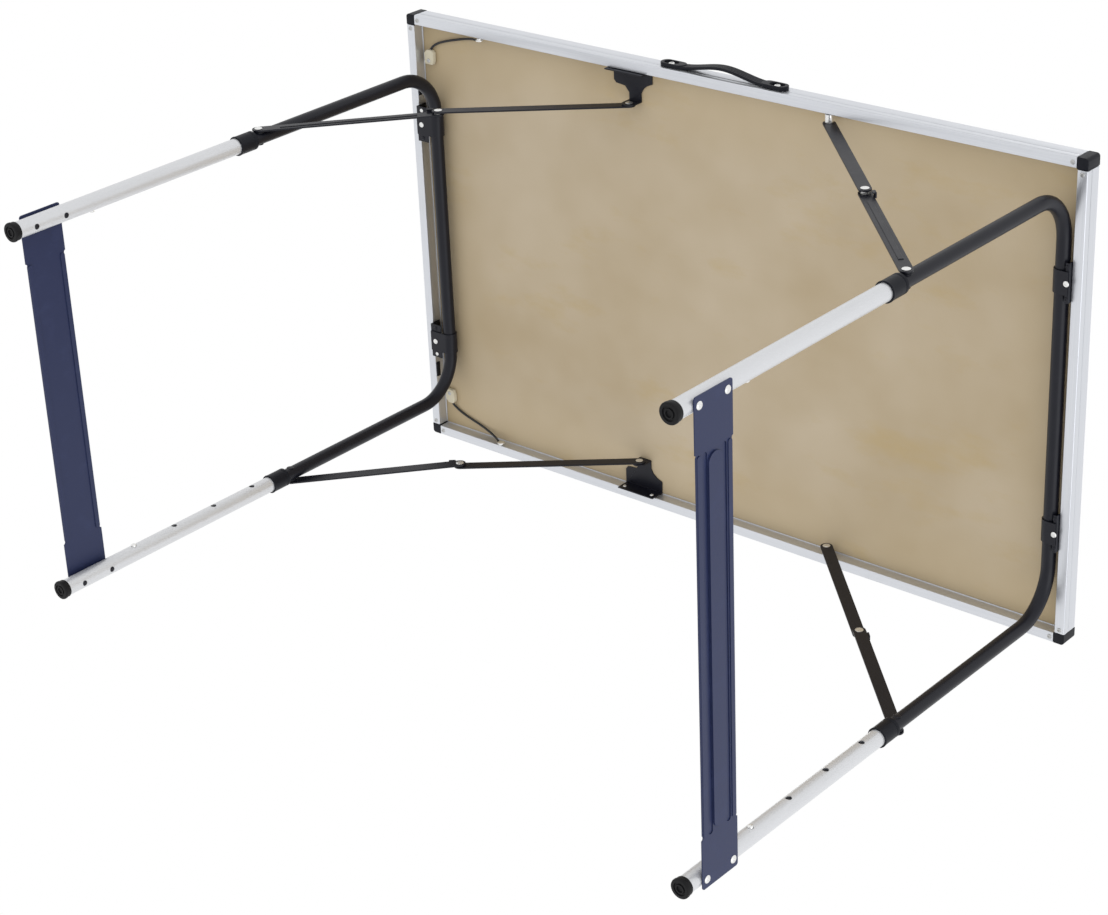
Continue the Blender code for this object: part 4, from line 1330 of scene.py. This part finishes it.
class TABLE_OT_handle(bpy.types.Operator):
    """Makes the ribbed carry handle with its oval pads and screws"""

    bl_idname = "folding_table.handle"
    bl_label = "Carry handle"

    screw_spacing: bpy.props.FloatProperty(
        name="Screw spacing",
        description="Distance between the handle's two screws",
        default=0.156,
        unit="LENGTH",
    )

    def execute(self, context):
        low, high = corners_of("handle_strap")
        self.centre = (low + high) / 2
        self.height = high.z - low.z
        self.half = (high.x - low.x) / 2
        self.reach = FRONT_FACE_Y - low.y
        band = self.make_band()
        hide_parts("handle_strap")
        screw = screw_head(0.0042, 0.0022)
        for step, word in ((-1, "left"), (1, "right")):
            self.make_pad(step, word)
            x = self.centre.x + step * self.screw_spacing / 2
            at = (x, FRONT_FACE_Y - BAND_ROOT, self.centre.z)
            stamp(screw, "handle_screw_" + word, at, (0, -1, 0), "zinc", TOP_BODY)
        discard(screw)
        return {"FINISHED"}

    def rise_at(self, x):
        """How far the band has risen there, from 0 at a pad to 1 in the middle."""
        share = max(0.0, 1.0 - abs(x) / HUMP_HALF)
        return share * share * (3 - 2 * share)

    def make_band(self):
        """The strap itself: its ribbed section swept along the hump."""
        points = []
        rise = self.reach - BAND_THICK / 2 - BAND_ROOT
        for index in range(BAND_STEPS + 1):
            x = -BAND_HALF + 2 * BAND_HALF * index / BAND_STEPS
            out = BAND_ROOT + self.rise_at(x) * rise
            points.append((self.centre.x + x, FRONT_FACE_Y - out, 0.0))
        profile = bpy.data.curves.new("band_profile", "CURVE")
        profile.dimensions = "2D"
        outline = self.band_outline()
        spline = profile.splines.new("POLY")
        spline.points.add(len(outline) - 1)
        for point, (u, v) in zip(spline.points, outline):
            point.co = (u, v, 0.0, 1.0)
        spline.use_cyclic_u = True
        shape = bpy.data.objects.new("band_profile", profile)
        bpy.context.scene.collection.objects.link(shape)
        band = wire("handle_band", points, 0.0, "POLY")
        band.data.dimensions = "2D"
        band.data.bevel_mode = "OBJECT"
        band.data.bevel_object = shape
        band = to_mesh(band)
        band.location.z = self.centre.z
        discard(shape)
        settle(band, 40)
        return fit_out(band, "plastic", TOP_BODY)

    def band_outline(self):
        """Section of the band: rounded edges, and raised ribs along both faces."""
        half_t = BAND_THICK / 2
        half_h = self.height / 2 - 0.0008
        steps = BAND_RIBS * 8
        points = []
        for face in (1, -1):
            for index in range(steps + 1):
                v = -half_h + 2 * half_h * index / steps
                groove = 0.5 - 0.5 * math.cos(2 * math.pi * BAND_RIBS * index / steps)
                edge = min(1.0, (half_h - abs(v)) / 0.0012)
                depth = half_t * (0.45 + 0.55 * math.sqrt(max(0.0, 1 - (1 - edge) ** 2)))
                points.append((face * (depth - 0.00035 * (1 - groove)), face * v))
        return points

    def make_pad(self, step, word):
        """Oval end pad: raised rim round a sunk floor."""
        outer_x = self.centre.x + step * (self.half - PAD_LENGTH / 2)
        outer = self.oval("handle_pad_" + word, PAD_LENGTH, self.height, PAD_TALL)
        inner = self.oval("pad_floor", PAD_LENGTH * 0.56, self.height * 0.66, 2 * PAD_TALL)
        inner.location.z = 0.0022
        inner.location.x = step * 0.0030
        cut_with(outer, inner)
        rounding = outer.modifiers.new("rounding", "BEVEL")
        rounding.width = 0.0008
        rounding.segments = 3
        rounding.angle_limit = math.radians(40)
        turn = Matrix(((1, 0, 0), (0, 0, -1), (0, 1, 0))).to_4x4()
        place = Matrix.Translation((outer_x, FRONT_FACE_Y - 0.0003, self.centre.z))
        outer.matrix_world = place @ turn
        settle(outer, 40)
        fit_out(outer, "plastic", TOP_BODY)

    def oval(self, name, length, width, tall):
        """Upright solid with a racetrack outline, pulled from a disc."""
        clear_selection()
        bpy.ops.mesh.primitive_circle_add(vertices=40, radius=width / 2, fill_type="NGON")
        obj = bpy.context.object
        obj.name = name
        pull_apart(obj, (length - width) / 2)
        bpy.ops.object.mode_set(mode="EDIT")
        bpy.ops.mesh.select_all(action="SELECT")
        bpy.ops.mesh.extrude_region_move(TRANSFORM_OT_translate={"value": (0, 0, tall)})
        bpy.ops.mesh.select_all(action="SELECT")
        bpy.ops.mesh.normals_make_consistent(inside=False)
        bpy.ops.object.mode_set(mode="OBJECT")
        return obj


class TABLE_PT_panel(bpy.types.Panel):
    """Lists the operators and settings of the table"""

    bl_idname = "TABLE_PT_panel"
    bl_label = "Folding Table"
    bl_space_type = "VIEW_3D"
    bl_region_type = "UI"
    bl_category = "Folding Table"

    def draw(self, context):
        layout = self.layout
        for settings in ("table_finishes", "table_hardware", "table_studio"):
            group = getattr(context.scene, settings)
            for name in group.__annotations__:
                layout.prop(group, name)
        for operator in OPERATORS:
            layout.operator(operator.bl_idname)


OPERATORS = (
    TABLE_OT_stage,
    TABLE_OT_cords,
    TABLE_OT_top,
    TABLE_OT_leg_frames,
    TABLE_OT_lower_legs,
    TABLE_OT_cross_panels,
    TABLE_OT_clamps,
    TABLE_OT_braces,
    TABLE_OT_handle,
)
GROUPS = {
    "table_finishes": FinishSettings,
    "table_hardware": HardwareSettings,
    "table_studio": StudioSettings,
}


def register():
    for name, group in GROUPS.items():
        bpy.utils.register_class(group)
        setattr(bpy.types.Scene, name, bpy.props.PointerProperty(type=group))
    for operator in OPERATORS:
        bpy.utils.register_class(operator)
    bpy.utils.register_class(TABLE_PT_panel)


def unregister():
    bpy.utils.unregister_class(TABLE_PT_panel)
    for operator in reversed(OPERATORS):
        bpy.utils.unregister_class(operator)
    for name, group in GROUPS.items():
        delattr(bpy.types.Scene, name)
        bpy.utils.unregister_class(group)


def main():
    register()
    bpy.ops.folding_table.stage()
    bpy.ops.folding_table.cords()
    bpy.ops.folding_table.top()
    bpy.ops.folding_table.leg_frames()
    bpy.ops.folding_table.lower_legs()
    bpy.ops.folding_table.cross_panels()
    bpy.ops.folding_table.clamps()
    bpy.ops.folding_table.braces()
    bpy.ops.folding_table.handle()
    clear_selection()


if __name__ == "__main__":
    main()
